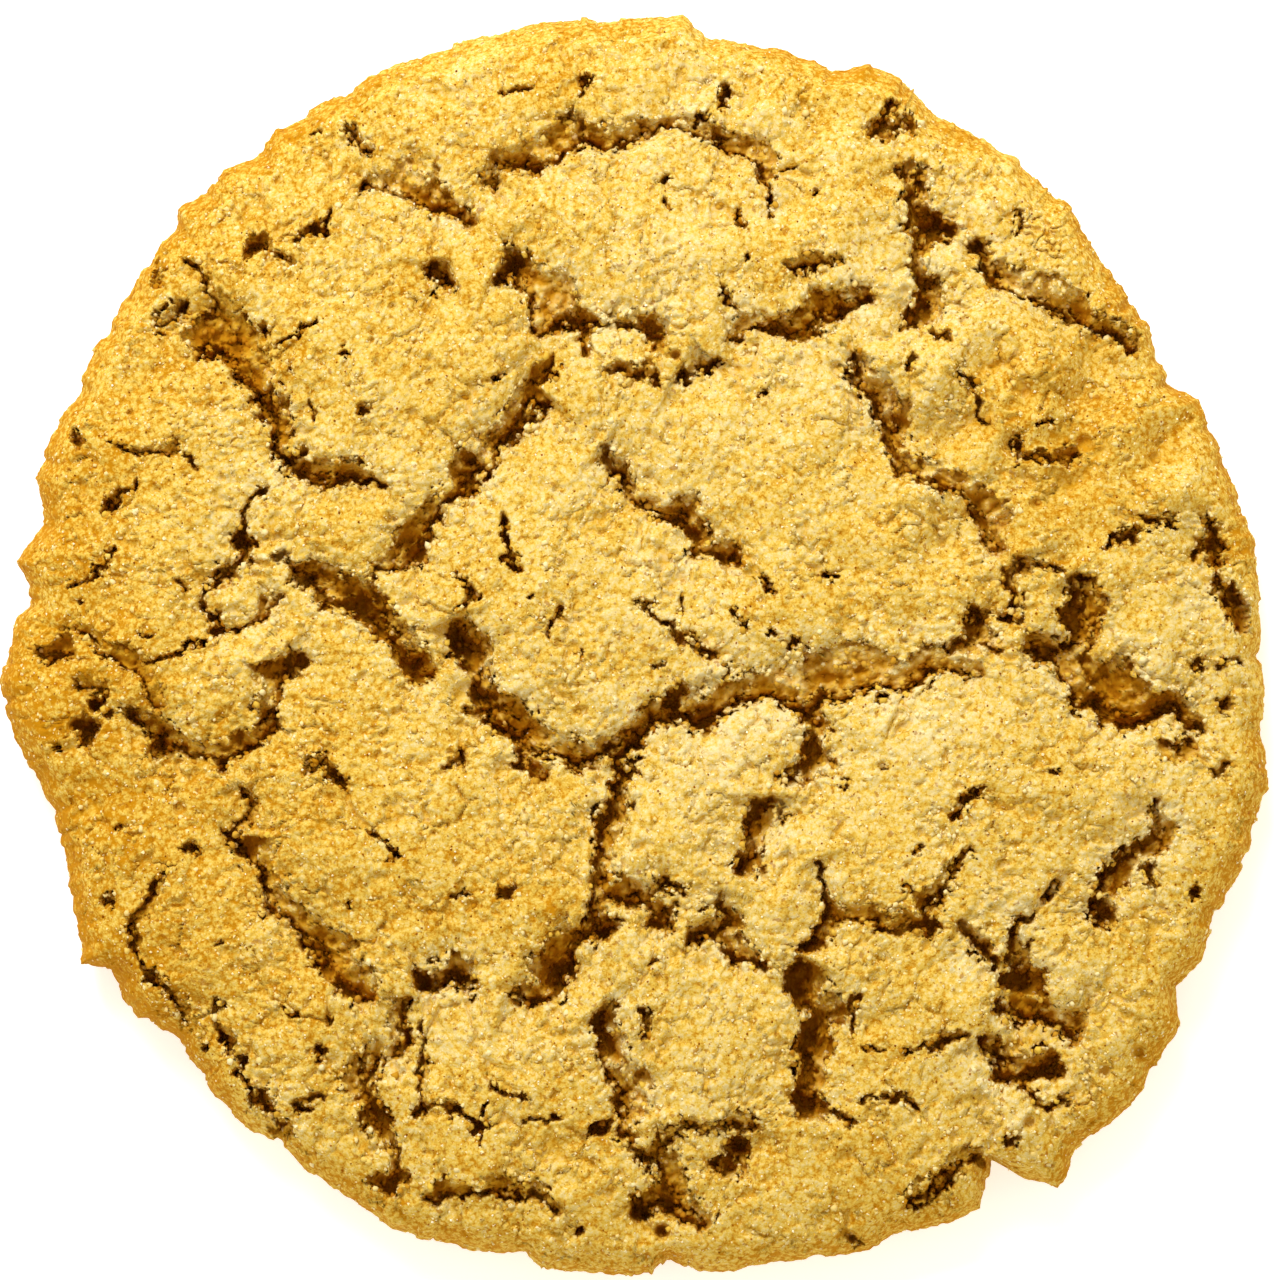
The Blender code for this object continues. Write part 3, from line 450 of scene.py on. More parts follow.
        (40.5, 9.2, 0.2, 0.5), (40.4, 8.2, 0.2, 0.7), (40.3, 7.2, 0.2, 0.6), (40.5, 6.4, 0.3, 0.8),
        (41.0, 5.0, 0.2, 0.4), (41.3, 4.1, 0.3, 0.6), (41.8, 3.3, 0.4, 1.0), (42.2, 2.3, 0.3, 0.8),
        (42.6, 1.2, 0.3, 0.8), (42.6, 0.4, 0.1, 0.3))),
    "east_fleck": (0.45, 0.2, 0.0, (
        (32.4, 6.5, 0.1, 0.2), (33.4, 7.3, 0.2, 0.45), (34.6, 7.4, 0.2, 0.5), (35.0, 6.7, 0.1, 0.3))),
    "east_fleck_high": (0.5, 0.3, 0.1, (
        (34.8, 8.9, 0.2, 0.3), (36.0, 8.3, 0.4, 0.5), (37.0, 8.4, 0.3, 0.5), (37.9, 7.7, 0.2, 0.5))),
    "east_fleck_rim": (0.5, 0.1, 0.0, (
        (38.8, -1.9, 0.1, 0.2), (39.3, -1.2, 0.1, 0.6), (39.9, -0.7, 0.1, 0.3))),
    "east_fleck_low": (0.4, 0.15, 0.0, ((40.2, -9.4), (41.6, -8.3))),
    "east_fleck_plate": (0.3, 0.1, 0.0, ((28.6, -8.6), (29.6, -9.3))),
    "east_fleck_south": (0.5, 0.2, 0.0, ((38.7, -17.1), (39.8, -17.8))),
    "east_link": (0.6, 0.3, 0.2, (
        (26.4, 6.3, 0.2, 0.3), (26.6, 5.6, 0.3, 0.7), (26.0, 5.0, 0.2, 0.4), (26.1, 4.2, 0.2, 0.4),
        (26.2, 2.6, 0.3, 0.6), (25.6, 1.2, 0.3, 0.7))),
    "east_hollow_low": (0.4, 0.8, -0.2, ((36.2, -6.6), (37.6, -7.0), (39.0, -6.4))),
    "east_valley": (1.0, 0.8, 0.5, (
        (30.2, 5.0, 0.4, 0.3), (30.8, 4.2, 0.6, 1.0), (30.7, 3.2, 0.8, 1.3), (30.4, 2.2, 1.0, 1.4),
        (30.6, 1.2, 0.8, 1.2), (30.4, 0.2, 0.6, 0.9), (29.4, -0.5, 0.4, 0.6))),
    "east_valley_top": (0.25, 0.2, 0.3, ((26.8, 5.6), (28.4, 5.3), (30.2, 5.0))),
    "east_rim_groove_spur": (0.4, 0.2, 0.1, ((40.2, 6.6), (39.3, 6.5), (38.8, 5.6, 0.1, 0.3))),
    "east_rim_arc": (0.3, 0.1, 0.1, ((40.4, -1.3), (41.6, -1.1), (42.8, -1.5))),
    "east_low_spur": (0.4, 0.2, 0.0, ((41.9, -3.8), (41.4, -4.4), (40.6, -4.7))),
    "east_arc_high": (0.3, 0.2, 0.1, ((27.6, 15.3), (28.9, 15.5), (29.4, 15.2))),
    "east_arc_low": (0.5, 0.3, 0.4, (
        (26.8, 12.9, 0.2, 0.2), (28.6, 12.8, 0.5, 0.3), (30.2, 12.7, 0.7, 0.5), (31.5, 13.2, 0.4, 0.6))),
    "east_plate_hair": (0.35, 0.1, 0.1, (
        (26.9, 14.6), (26.5, 13.8, 0.1, 0.4), (26.6, 13.2), (26.4, 12.0, 0.1, 0.4))),
    "east_plate_nick": (0.4, 0.2, 0.1, (
        (22.4, 19.2), (23.2, 18.3), (23.6, 17.0), (24.0, 15.6), (24.8, 15.1))),
    # the north east
    "north_east": (0.75, 0.5, 0.1, (
        (18.3, 33.7, 0.3, 0.4), (18.6, 33.2, 0.4, 0.7), (19.0, 32.2, 0.6, 0.3), (19.3, 31.3, 0.8, 0.7),
        (19.7, 30.4, 0.5, 0.9), (19.6, 29.5, 0.4, 0.9), (20.0, 28.4, 0.4, 0.6), (20.0, 27.8, 0.3, 0.9),
        (19.6, 26.9, 0.3, 0.5), (19.7, 26.2, 0.6, 0.3), (19.6, 25.4, 0.6, 0.5), (20.2, 24.8, 0.5, 1.0),
        (19.7, 23.9, 0.8, 1.1), (19.2, 22.9, 0.7, 0.9), (19.1, 22.0, 0.4, 0.9), (19.3, 21.5, 0.1, 0.3))),
    "north_east_pocket": (1.2, 0.4, 0.3, (
        (19.5, 29.1, 0.3, 1.3), (21.0, 29.1, 0.3, 1.5), (22.6, 28.9, 0.2, 0.8))),
    "north_east_nick": (0.7, 0.3, 0.2, (
        (16.0, 35.3, 0.1, 0.2), (16.9, 35.8, 0.3, 0.8), (18.0, 35.5, 0.3, 0.5), (19.1, 35.9, 0.3, 0.9),
        (19.6, 35.2, 0.1, 0.2))),
    "north_east_side": (0.7, 1.1, 0.6, (
        (23.8, 28.6, 0.2, 0.8), (24.0, 27.4, 0.3, 0.5), (24.5, 26.4, 0.5, 0.7), (25.1, 25.4, 0.7, 0.8),
        (25.4, 24.8, 1.2, 0.6), (27.0, 24.2, 1.5, 0.3), (28.8, 23.8, 1.5, 0.35), (29.4, 23.2, 1.3, 0.4),
        (30.1, 23.1, 1.2, 0.6), (31.5, 22.3, 0.9, 0.4), (32.2, 22.0, 0.6, 0.5), (33.7, 21.6, 0.4, 0.7),
        (34.4, 20.8, 0.3, 0.4), (35.3, 20.5, 0.3, 0.9))),
    "north_east_hair": (0.3, 0.1, 0.0, (
        (26.3, 30.5, 0.1, 0.15), (26.7, 30.0), (26.8, 29.0), (26.6, 28.3, 0.1, 0.6))),
    "north_east_crease": (0.35, 0.3, 0.1, ((20.5, 21.8), (21.4, 21.3), (22.3, 21.2))),
    "north_east_top": (0.4, 0.2, 0.1, (
        (18.2, 38.1, 0.2, 0.5), (17.6, 37.3, 0.2, 0.3), (17.3, 36.5, 0.2, 0.3), (16.9, 35.9, 0.3, 0.8))),
    "north_east_spots": (0.8, 0.2, 0.0, (
        (20.3, 33.7, 0.1, 0.6), (19.9, 33.1, 0.1, 0.4), (20.0, 32.3, 0.2, 0.9), (20.2, 31.2, 0.2, 0.6))),
    "north_east_tail": (0.3, 0.1, 0.0, ((19.8, 20.3, 0.1, 0.5), (19.5, 19.7), (19.0, 19.3), (18.9, 18.8))),
    # the north
    "north": (0.75, 0.7, 0.5, (
        (-10.9, 31.8, 0.4, 0.5), (-10.0, 32.1, 0.5, 0.6), (-9.6, 32.8, 0.3, 0.4), (-9.2, 33.2, 0.6, 0.5),
        (-8.0, 33.1, 0.8, 0.6), (-6.8, 33.2, 0.9, 0.6), (-6.3, 33.6, 1.2, 0.2), (-5.2, 33.8, 1.4, 0.35),
        (-4.2, 34.5, 1.2, 0.4), (-3.6, 34.9, 1.4, 0.7), (-3.0, 34.8, 1.6, 0.4), (-2.0, 34.4, 1.6, 0.25),
        (-0.6, 34.6, 1.4, 0.5), (0.1, 35.2, 0.8, 0.4), (0.9, 36.0, 0.4, 0.3), (1.9, 36.2, 0.3, 0.15),
        (2.8, 36.1, 0.5, 0.2), (4.0, 35.7, 0.9, 0.3), (5.2, 35.2, 1.1, 0.4), (6.4, 34.9, 1.0, 0.3),
        (7.4, 34.1, 1.2, 0.2), (8.4, 33.6, 1.2, 0.2), (9.0, 33.2, 1.0, 0.4), (9.1, 32.3, 0.5, 0.6),
        (9.3, 31.3, 0.1, 0.5), (9.4, 30.4, 0.1, 0.4), (9.5, 29.4, 0.1, 0.15))),
    "north_spur": (0.4, 0.15, 0.0, (
        (-3.9, 35.2, 0.2, 0.5), (-3.8, 36.3, 0.2, 0.4), (-4.2, 37.0, 0.2, 0.35), (-4.4, 37.6, 0.2, 0.4))),
    "north_crease": (0.6, 0.3, 0.2, (
        (5.7, 37.2, 0.2, 0.3), (6.2, 37.6, 0.3, 0.6), (6.5, 38.5, 0.3, 0.6), (6.9, 38.8, 0.2, 0.3))),
    "north_valley_west": (1.0, 1.4, 0.5, (
        (-10.0, 26.2, 0.2, 0.4), (-9.3, 25.9, 0.3, 1.0), (-8.5, 26.2, 0.4, 1.3), (-8.0, 25.4, 1.6, 0.6),
        (-7.6, 24.5, 2.0, 0.3), (-7.0, 23.6, 2.2, 0.5), (-7.0, 22.6, 2.0, 0.3), (-6.9, 21.1, 1.2, 0.3))),
    "north_valley": (0.75, 0.7, 0.6, (
        (-6.9, 21.0, 0.2, 0.2), (-6.2, 21.5, 1.0, 0.4), (-5.5, 22.0, 1.0, 0.6), (-4.9, 22.5, 0.6, 0.5),
        (-4.2, 22.1, 0.8, 0.6), (-3.6, 22.0, 0.7, 0.7), (-2.9, 22.2, 0.6, 0.5), (-2.3, 22.1, 0.1, 0.2),
        (-1.8, 22.1, 0.1, 0.2), (-1.4, 22.3, 0.4, 0.4), (-0.6, 22.1, 0.6, 0.4), (0.3, 22.0, 0.7, 0.6),
        (1.2, 21.8, 0.6, 0.8), (1.8, 21.5, 0.4, 0.7), (2.2, 21.3, 0.2, 0.3))),
    "north_valley_spur": (0.5, 0.2, 0.0, (
        (-3.6, 21.9, 0.2, 0.6), (-3.5, 21.2, 0.2, 0.4), (-3.2, 20.4, 0.2, 0.3), (-3.0, 19.9, 0.1, 0.15))),
    "north_valley_low": (0.4, 0.3, 0.2, (
        (-2.6, 18.6, 0.1, 0.1), (-2.0, 18.9, 0.2, 0.3), (-1.1, 19.2, 0.3, 0.25), (-0.2, 18.9, 0.3, 0.3),
        (0.5, 18.7, 0.3, 0.5), (1.3, 18.6, 0.3, 0.6), (1.8, 18.8, 0.1, 0.3))),
    "north_ledge": (0.75, 0.9, 0.5, (
        (6.2, 21.2, 0.3, 0.2), (7.5, 21.5, 0.8, 0.5), (8.8, 21.9, 0.9, 0.5), (9.6, 22.0, 0.8, 0.7),
        (10.5, 22.2, 0.6, 0.9), (11.3, 21.6, 0.7, 0.8), (12.6, 21.9, 0.9, 0.6), (13.2, 22.7, 1.0, 0.9),
        (14.0, 22.9, 0.8, 1.0), (14.6, 23.6, 0.6, 1.0), (15.3, 24.0, 0.5, 0.8), (16.9, 24.2, 0.2, 0.4))),
    "north_ledge_upper": (0.5, 0.5, 0.3, (
        (10.4, 26.6, 0.4, 0.2), (11.2, 26.0, 0.6, 0.4), (11.9, 25.9, 0.7, 0.6), (12.8, 26.4, 0.5, 0.4),
        (14.6, 26.4, 0.4, 0.2))),
    "north_plate_hair": (0.35, 0.15, 0.0, (
        (6.0, 25.1, 0.1, 0.2), (6.2, 24.4, 0.2, 0.4), (6.3, 23.7, 0.1, 0.2), (6.5, 23.3, 0.1, 0.35),
        (7.1, 23.0, 0.1, 0.15))),
    "north_plate_fleck": (0.3, 0.15, 0.1, (
        (7.0, 30.6, 0.1, 0.15), (7.3, 29.9, 0.1, 0.3), (7.3, 29.4, 0.2, 0.4), (7.9, 28.8, 0.1, 0.3))),
    "north_gap": (0.8, 0.7, 0.3, (
        (-14.2, 26.9, 0.3, 0.4), (-14.2, 25.9, 0.6, 0.7), (-13.7, 25.2, 0.9, 1.0), (-13.0, 25.0, 0.8, 0.7),
        (-12.2, 25.2, 0.3, 0.3))),
    "north_fleck": (0.3, 0.1, 0.0, ((12.2, 31.5), (12.9, 31.3))),
    "north_plate_hair_east": (0.2, 0.1, 0.0, ((10.1, 33.1), (11.2, 33.1), (11.5, 33.4))),
    "north_spot": (0.6, 0.3, 0.2, ((3.9, 36.5, 0.1, 0.3), (4.5, 36.5, 0.2, 0.7), (5.0, 36.1, 0.1, 0.3))),
    "north_fork": (0.5, 0.2, 0.0, ((9.1, 32.4), (8.3, 32.6, 0.1, 0.4))),
    "north_spur_high": (0.4, 0.3, 0.0, (
        (-4.0, 38.0, 0.1, 0.15), (-3.6, 38.5, 0.2, 0.4), (-3.4, 39.3, 0.4, 0.6), (-3.3, 39.9, 0.3, 0.5))),
    "north_valley_side": (0.5, 0.6, 0.1, (
        (1.6, 21.5, 0.2, 0.4), (1.5, 20.8, 0.5, 0.3), (1.2, 20.2, 0.3, 0.15))),
    "north_valley_east": (0.8, 0.7, 0.3, (
        (2.6, 19.0, 0.2, 0.3), (3.1, 18.7, 0.3, 0.7), (3.5, 18.4, 0.3, 0.7), (4.2, 18.7, 0.7, 0.3),
        (4.8, 18.9, 0.6, 0.6), (5.4, 19.1, 0.5, 0.7), (5.9, 19.5, 0.4, 0.6), (6.1, 20.0, 0.2, 0.4))),
    "north_plate_fleck_low": (0.25, 0.1, 0.0, ((7.4, 26.9), (7.9, 26.3))),
    "north_hair": (0.2, 0.1, 0.0, ((2.5, 32.8), (2.1, 32.1), (1.8, 31.7))),
    "north_hair_low": (0.15, 0.1, 0.0, ((1.9, 31.0), (2.3, 30.4), (2.8, 30.2))),
    "north_fleck_low": (0.3, 0.1, 0.0, ((8.3, 17.5), (9.2, 17.3))),
    "north_fleck_rim": (0.3, 0.1, 0.0, ((-9.6, 38.3), (-8.2, 38.6, 0.1, 0.15), (-6.8, 39.0, 0.1, 0.1))),
    # the north west
    "north_west_arm": (0.7, 0.6, 0.4, (
        (-19.7, 36.4, 0.3, 0.3), (-19.9, 35.4, 0.4, 0.5), (-19.3, 34.9, 0.4, 0.4), (-18.8, 34.4, 0.4, 0.6),
        (-18.2, 33.9, 0.3, 0.2))),
    "north_west_far": (0.7, 0.4, 0.3, (
        (-33.8, 22.6, 0.2, 0.4), (-32.9, 22.6, 0.3, 0.4), (-32.1, 22.8, 0.4, 0.9), (-31.5, 23.2, 0.4, 0.7),
        (-31.2, 24.0, 0.3, 0.4))),
    "north_west_ramp": (0.25, 1.0, 0.5, (
        (-31.4, 27.2, 0.3, 0.15), (-30.2, 25.4, 0.6, 0.3), (-29.6, 24.2, 0.8, 0.2),
        (-28.8, 23.2, 0.8, 0.35), (-28.3, 22.3, 0.8, 0.3), (-27.9, 21.2, 0.8, 0.3),
        (-27.3, 20.4, 0.8, 0.3))),
    "north_west": (0.9, 0.9, 0.9, (
        (-30.9, 19.6, 0.2, 0.3), (-30.2, 20.1, 1.0, 0.8), (-29.2, 20.2, 1.6, 1.2), (-28.5, 19.7, 1.8, 0.6),
        (-27.8, 18.9, 1.6, 0.5), (-27.3, 18.6, 1.4, 0.8), (-27.0, 17.9, 1.2, 0.4), (-26.7, 17.0, 0.8, 1.0),
        (-26.0, 16.7, 0.6, 1.2), (-25.5, 16.0, 0.5, 0.9), (-25.1, 15.2, 0.5, 1.1), (-25.0, 14.3, 0.4, 0.6),
        (-25.0, 13.3, 0.4, 0.9), (-24.3, 12.7, 0.4, 1.0), (-23.4, 12.0, 0.5, 0.8), (-22.4, 11.6, 0.6, 0.8),
        (-21.6, 11.3, 0.6, 0.5), (-20.8, 11.5, 0.4, 0.8), (-19.6, 11.6, 0.5, 0.9), (-18.7, 11.3, 0.4, 0.6),
        (-18.0, 11.0, 0.2, 0.3), (-17.0, 11.3, 0.1, 0.15))),
    "north_west_pit": (0.5, 0.3, 0.1, (
        (-26.2, 21.4, 0.3, 0.4), (-25.8, 21.6, 0.2, 0.6), (-25.3, 21.5, 0.1, 0.3))),
    "west_of_middle": (0.8, 0.9, -0.7, (
        (-5.9, 17.4, 0.8, 0.3), (-6.6, 16.8, 1.2, 0.6), (-7.6, 15.9, 0.9, 0.8), (-8.4, 15.1, 0.6, 0.9),
        (-9.2, 14.3, 0.5, 0.8), (-9.9, 13.4, 0.5, 0.5), (-9.9, 12.3, 1.6, 0.35), (-11.2, 11.8, 1.0, 0.9),
        (-11.6, 11.0, 0.6, 0.9), (-12.1, 10.4, 0.4, 0.3), (-13.1, 10.0, 0.8, 0.4), (-13.9, 9.4, 1.2, 0.5),
        (-13.9, 8.5, 1.8, 0.8), (-14.3, 7.4, 1.6, 0.6), (-15.0, 6.2, 1.2, 1.3), (-16.0, 5.2, 1.4, 0.4),
        (-17.3, 5.2, 0.8, 0.2), (-18.2, 5.2, 0.3, 0.4), (-18.3, 4.2, 0.3, 0.35))),
    "north_west_hair": (0.4, 0.15, 0.1, (
        (-27.6, 26.9, 0.1, 0.15), (-27.0, 27.1, 0.2, 0.5), (-26.4, 27.5, 0.3, 0.7), (-25.7, 27.3, 0.2, 0.5),
        (-25.1, 27.2, 0.1, 0.2), (-24.5, 26.8, 0.2, 0.25), (-23.3, 26.6, 0.1, 0.15))),
    "north_west_hair_high": (0.3, 0.1, 0.1, (
        (-24.0, 27.8, 0.1, 0.25), (-23.4, 28.3, 0.1, 0.3), (-22.9, 28.8, 0.3, 0.5), (-22.2, 29.0, 0.3, 0.4),
        (-21.8, 29.0, 0.2, 0.5), (-21.3, 29.8, 0.1, 0.2), (-21.2, 30.7, 0.1, 0.15))),
    "north_west_hair_low": (0.2, 0.1, 0.0, (
        (-25.0, 20.6, 0.1, 0.15), (-24.4, 21.0), (-23.5, 21.3, 0.1, 0.3), (-22.9, 22.2),
        (-22.3, 22.5, 0.1, 0.25), (-22.3, 22.9, 0.1, 0.15))),
    "north_west_fleck": (0.3, 0.1, 0.0, ((-22.8, 35.7), (-21.7, 35.9))),
    "north_west_arm_low": (0.7, 1.4, 0.4, (
        (-19.5, 31.6, 0.3, 0.3), (-18.8, 31.7, 0.5, 0.5), (-18.2, 32.0, 0.8, 0.4), (-17.2, 31.6, 1.8, 0.3),
        (-16.4, 31.4, 1.8, 0.3), (-15.6, 31.2, 1.0, 0.5), (-15.0, 30.6, 0.8, 0.6), (-14.1, 30.2, 0.9, 0.7),
        (-13.2, 30.3, 0.8, 0.4), (-12.3, 29.8, 0.6, 0.5), (-11.5, 29.5, 0.3, 0.4),
        (-11.1, 29.0, 0.2, 0.3))),
    "north_west_fleck_low": (0.4, 0.1, 0.0, (
        (-20.6, 20.3, 0.1, 0.15), (-19.8, 20.4, 0.1, 0.4), (-19.4, 20.0, 0.1, 0.3))),
    "north_west_fleck_south": (0.3, 0.1, 0.0, ((-19.6, 16.3), (-18.8, 16.3), (-18.2, 15.9, 0.1, 0.15))),
    "north_west_thread": (0.15, 0.1, 0.0, ((-23.0, 17.2), (-22.4, 16.2), (-22.2, 15.2))),
    "north_west_thread_high": (0.15, 0.1, 0.0, ((-24.4, 19.2), (-23.8, 18.4))),
    "north_west_far_low": (0.3, 0.1, 0.0, ((-33.5, 21.7), (-32.7, 21.9))),
    "north_west_pocket": (0.35, 1.2, -0.2, (
        (-5.5, 20.2, 0.2, 0.2), (-5.5, 19.4, 1.2, 0.4), (-5.8, 18.8, 1.4, 0.4), (-6.8, 18.2, 1.4, 0.35),
        (-7.8, 18.5, 0.6, 0.4))),
    "north_west_spot": (0.6, 0.3, 0.1, ((-9.6, 19.0, 0.2, 0.4), (-9.2, 18.4, 0.2, 0.7))),
    "north_west_rim_crease": (0.35, 0.3, 0.2, (
        (-32.9, 27.9, 0.3, 0.3), (-33.2, 26.6, 0.3, 0.3), (-33.3, 25.2, 0.2, 0.35),
        (-34.0, 24.8, 0.1, 0.2))),
    # the west
    "west_loop": (0.6, 0.25, 0.1, (
        (-25.2, 11.0, 0.1, 0.15), (-26.3, 10.6, 0.2, 0.35), (-26.9, 10.2, 0.1, 0.15),
        (-27.4, 9.4, 0.1, 0.3), (-27.3, 8.8, 0.1, 0.2), (-27.5, 8.1, 0.2, 0.7), (-27.7, 7.5, 0.2, 0.8),
        (-27.5, 6.8, 0.3, 1.0), (-27.4, 6.2, 0.2, 0.5), (-28.1, 5.6, 0.3, 0.6), (-28.8, 4.9, 0.3, 0.7),
        (-29.2, 4.4, 0.2, 0.5), (-29.9, 3.9, 0.1, 0.3), (-30.1, 3.2, 0.1, 0.25), (-30.0, 2.2, 0.1, 0.2),
        (-29.6, 1.6, 0.3, 0.6), (-29.4, 1.0, 0.2, 0.5), (-28.7, 0.8, 0.1, 0.3), (-27.9, 1.0, 0.1, 0.25),
        (-26.7, 1.3, 0.1, 0.15), (-25.8, 1.8, 0.6, 0.15), (-25.4, 2.8, 0.6, 0.2), (-24.9, 3.3, 0.2, 0.35),
        (-24.3, 3.7, 0.1, 0.2))),
    "west_loop_spur": (0.5, 0.2, 0.1, (
        (-27.1, 7.0, 0.1, 0.3), (-26.5, 7.0, 0.1, 0.5), (-25.9, 6.9, 0.1, 0.3))),
    "west_hair": (0.4, 0.15, 0.1, (
        (-29.7, 0.5, 0.1, 0.3), (-30.3, 0.1, 0.1, 0.6), (-31.2, -0.3, 0.1, 0.35), (-31.8, -0.7, 0.1, 0.3),
        (-33.0, -0.9, 0.1, 0.2), (-34.2, -1.1, 0.1, 0.25), (-34.7, -1.0, 0.1, 0.15))),
    "west_middle": (0.9, 0.8, 0.3, (
        (-25.6, 5.8, 0.2, 0.3), (-24.7, 5.9, 0.2, 0.5), (-24.2, 5.3, 0.5, 0.2), (-23.8, 4.9, 0.5, 0.9),
        (-23.0, 4.5, 0.8, 1.2), (-22.3, 3.9, 1.3, 0.9), (-21.6, 2.9, 1.6, 0.8), (-20.6, 2.6, 1.4, 0.7),
        (-19.6, 2.7, 0.9, 1.5), (-19.0, 2.6, 0.9, 1.7), (-18.2, 1.9, 0.7, 1.6), (-17.5, 1.0, 0.6, 1.0),
        (-17.1, 0.3, 0.7, 0.8), (-16.7, -0.4, 0.6, 0.6), (-16.0, -1.1, 0.5, 1.2), (-15.3, -1.6, 0.6, 1.3),
        (-14.7, -1.8, 0.6, 0.8), (-13.6, -1.7, 0.2, 0.2))),
    "west_gully": (0.9, 0.9, -0.6, (
        (-24.5, 0.2, 0.2, 0.2), (-24.0, -0.5, 0.5, 0.6), (-23.8, -1.4, 0.9, 1.1), (-24.2, -2.2, 1.0, 1.0),
        (-24.6, -3.0, 1.0, 0.4), (-24.9, -4.0, 0.9, 0.4), (-25.2, -4.9, 0.8, 0.6), (-25.4, -5.7, 0.8, 0.8),
        (-25.9, -6.4, 0.8, 0.5), (-26.6, -6.9, 0.7, 0.4), (-27.2, -7.2, 0.6, 0.8), (-27.8, -7.9, 0.6, 0.4),
        (-28.6, -8.4, 0.4, 0.8), (-29.2, -9.0, 0.3, 0.6))),
    "west_ledge": (0.9, 0.8, -0.6, (
        (-27.9, -8.0, 0.2, 0.2), (-29.0, -7.8, 0.8, 0.2), (-30.2, -7.9, 0.9, 0.5), (-31.2, -7.7, 0.9, 0.3),
        (-32.2, -7.5, 0.8, 0.8), (-32.9, -7.1, 0.8, 1.4), (-33.6, -7.7, 0.6, 0.7),
        (-34.2, -7.9, 0.3, 0.3))),
    "west_ledge_shade": (0.6, 1.4, -0.7, (
        (-33.0, -6.6, 1.6, 0.4), (-34.0, -6.5, 1.8, 0.4), (-34.8, -5.8, 1.6, 0.4), (-35.2, -4.9, 1.2, 0.7),
        (-35.0, -4.2, 0.4, 0.4))),
    "west_ledge_end": (0.8, 0.4, -0.3, (
        (-37.5, -6.8, 0.3, 0.4), (-38.1, -6.5, 0.4, 0.8), (-38.8, -6.0, 0.4, 0.9),
        (-39.6, -5.9, 0.3, 0.6))),
    "west_ledge_fleck": (0.6, 0.2, 0.0, (
        (-36.9, -3.8, 0.1, 0.5), (-37.4, -4.5, 0.2, 0.8), (-37.8, -5.0, 0.1, 0.3))),
    "west_rim_ledge": (0.3, 0.8, -0.3, (
        (-36.6, -3.9, 0.3, 0.2), (-37.6, -3.4, 0.8, 0.3), (-38.6, -3.0, 1.0, 0.3),
        (-39.4, -2.3, 0.6, 0.2))),
    "west_plate_roll": (0.25, 1.0, -0.6, (
        (-33.6, -4.9, 0.8, 0.15), (-34.0, -3.6, 1.0, 0.2), (-34.4, -2.4, 1.1, 0.2),
        (-35.6, -1.4, 1.0, 0.25), (-37.0, -0.6, 0.9, 0.25), (-38.4, 0.5, 0.8, 0.2),
        (-39.6, 1.0, 0.5, 0.15))),
    "west_rim_fleck": (0.5, 1.0, -0.3, (
        (-39.0, -1.0, 0.4, 0.5), (-39.8, -0.9, 1.0, 0.6), (-40.8, -1.3, 1.2, 0.5), (-41.6, -1.0, 1.0, 0.4),
        (-42.1, -0.2, 0.4, 0.3))),
    "west_plate_hair": (0.3, 0.1, 0.0, (
        (-40.0, 3.8, 0.1, 0.15), (-38.6, 4.2, 0.1, 0.15), (-37.7, 4.4, 0.1, 0.25), (-37.3, 5.0, 0.1, 0.5),
        (-36.8, 5.6, 0.1, 0.2), (-36.5, 6.2, 0.2, 0.4), (-36.0, 6.8, 0.1, 0.2))),
    "west_plate_hair_high": (0.35, 0.1, 0.0, (
        (-37.2, 8.9, 0.1, 0.2), (-36.5, 9.5, 0.2, 0.5), (-36.2, 10.0, 0.2, 0.4), (-35.8, 10.6, 0.1, 0.2),
        (-35.1, 10.9, 0.1, 0.3), (-34.9, 11.8, 0.1, 0.15))),
    "west_plate_fleck": (0.3, 0.1, 0.0, (
        (-31.6, 13.6, 0.1, 0.2), (-31.2, 13.0, 0.1, 0.35), (-30.8, 12.4, 0.1, 0.3),
        (-30.5, 11.9, 0.1, 0.15))),
    "west_crease": (0.25, 0.4, 0.3, (
        (-36.9, 14.0, 0.1, 0.15), (-35.6, 13.5, 0.2, 0.3), (-34.8, 13.2, 0.4, 0.3), (-33.6, 13.1, 0.5, 0.2),
        (-32.4, 13.3, 0.4, 0.2), (-31.8, 14.1, 0.2, 0.3), (-31.7, 14.6, 0.1, 0.2))),
    "west_plate_notch": (0.5, 0.3, 0.1, (
        (-13.6, -8.6, 0.1, 0.2), (-12.6, -8.3, 0.2, 0.4), (-11.6, -8.1, 0.2, 0.7))),
    "west_hair_high": (0.15, 0.1, 0.0, ((-34.9, 0.9), (-34.4, 0.5), (-33.8, 0.4), (-33.5, 0.7))),
    "west_ledge_fleck_low": (0.3, 0.1, 0.0, ((-40.8, -7.6, 0.1, 0.2), (-40.1, -7.4, 0.1, 0.35))),
    "west_plate_speck": (0.25, 0.1, 0.0, ((-39.0, 2.8), (-38.4, 3.1))),
    "west_plate_thread": (0.15, 0.1, 0.0, ((-32.2, 4.7), (-31.6, 4.2), (-31.0, 3.6))),
    "west_rim_groove": (0.5, 0.2, 0.0, (
        (-39.3, 15.2, 0.1, 0.3), (-39.2, 14.3, 0.1, 0.5), (-39.4, 13.5, 0.1, 0.3))),
}
print("cracks:", len(CRACKS), "with", sum(len(crack[3]) for crack in CRACKS.values()), "points")

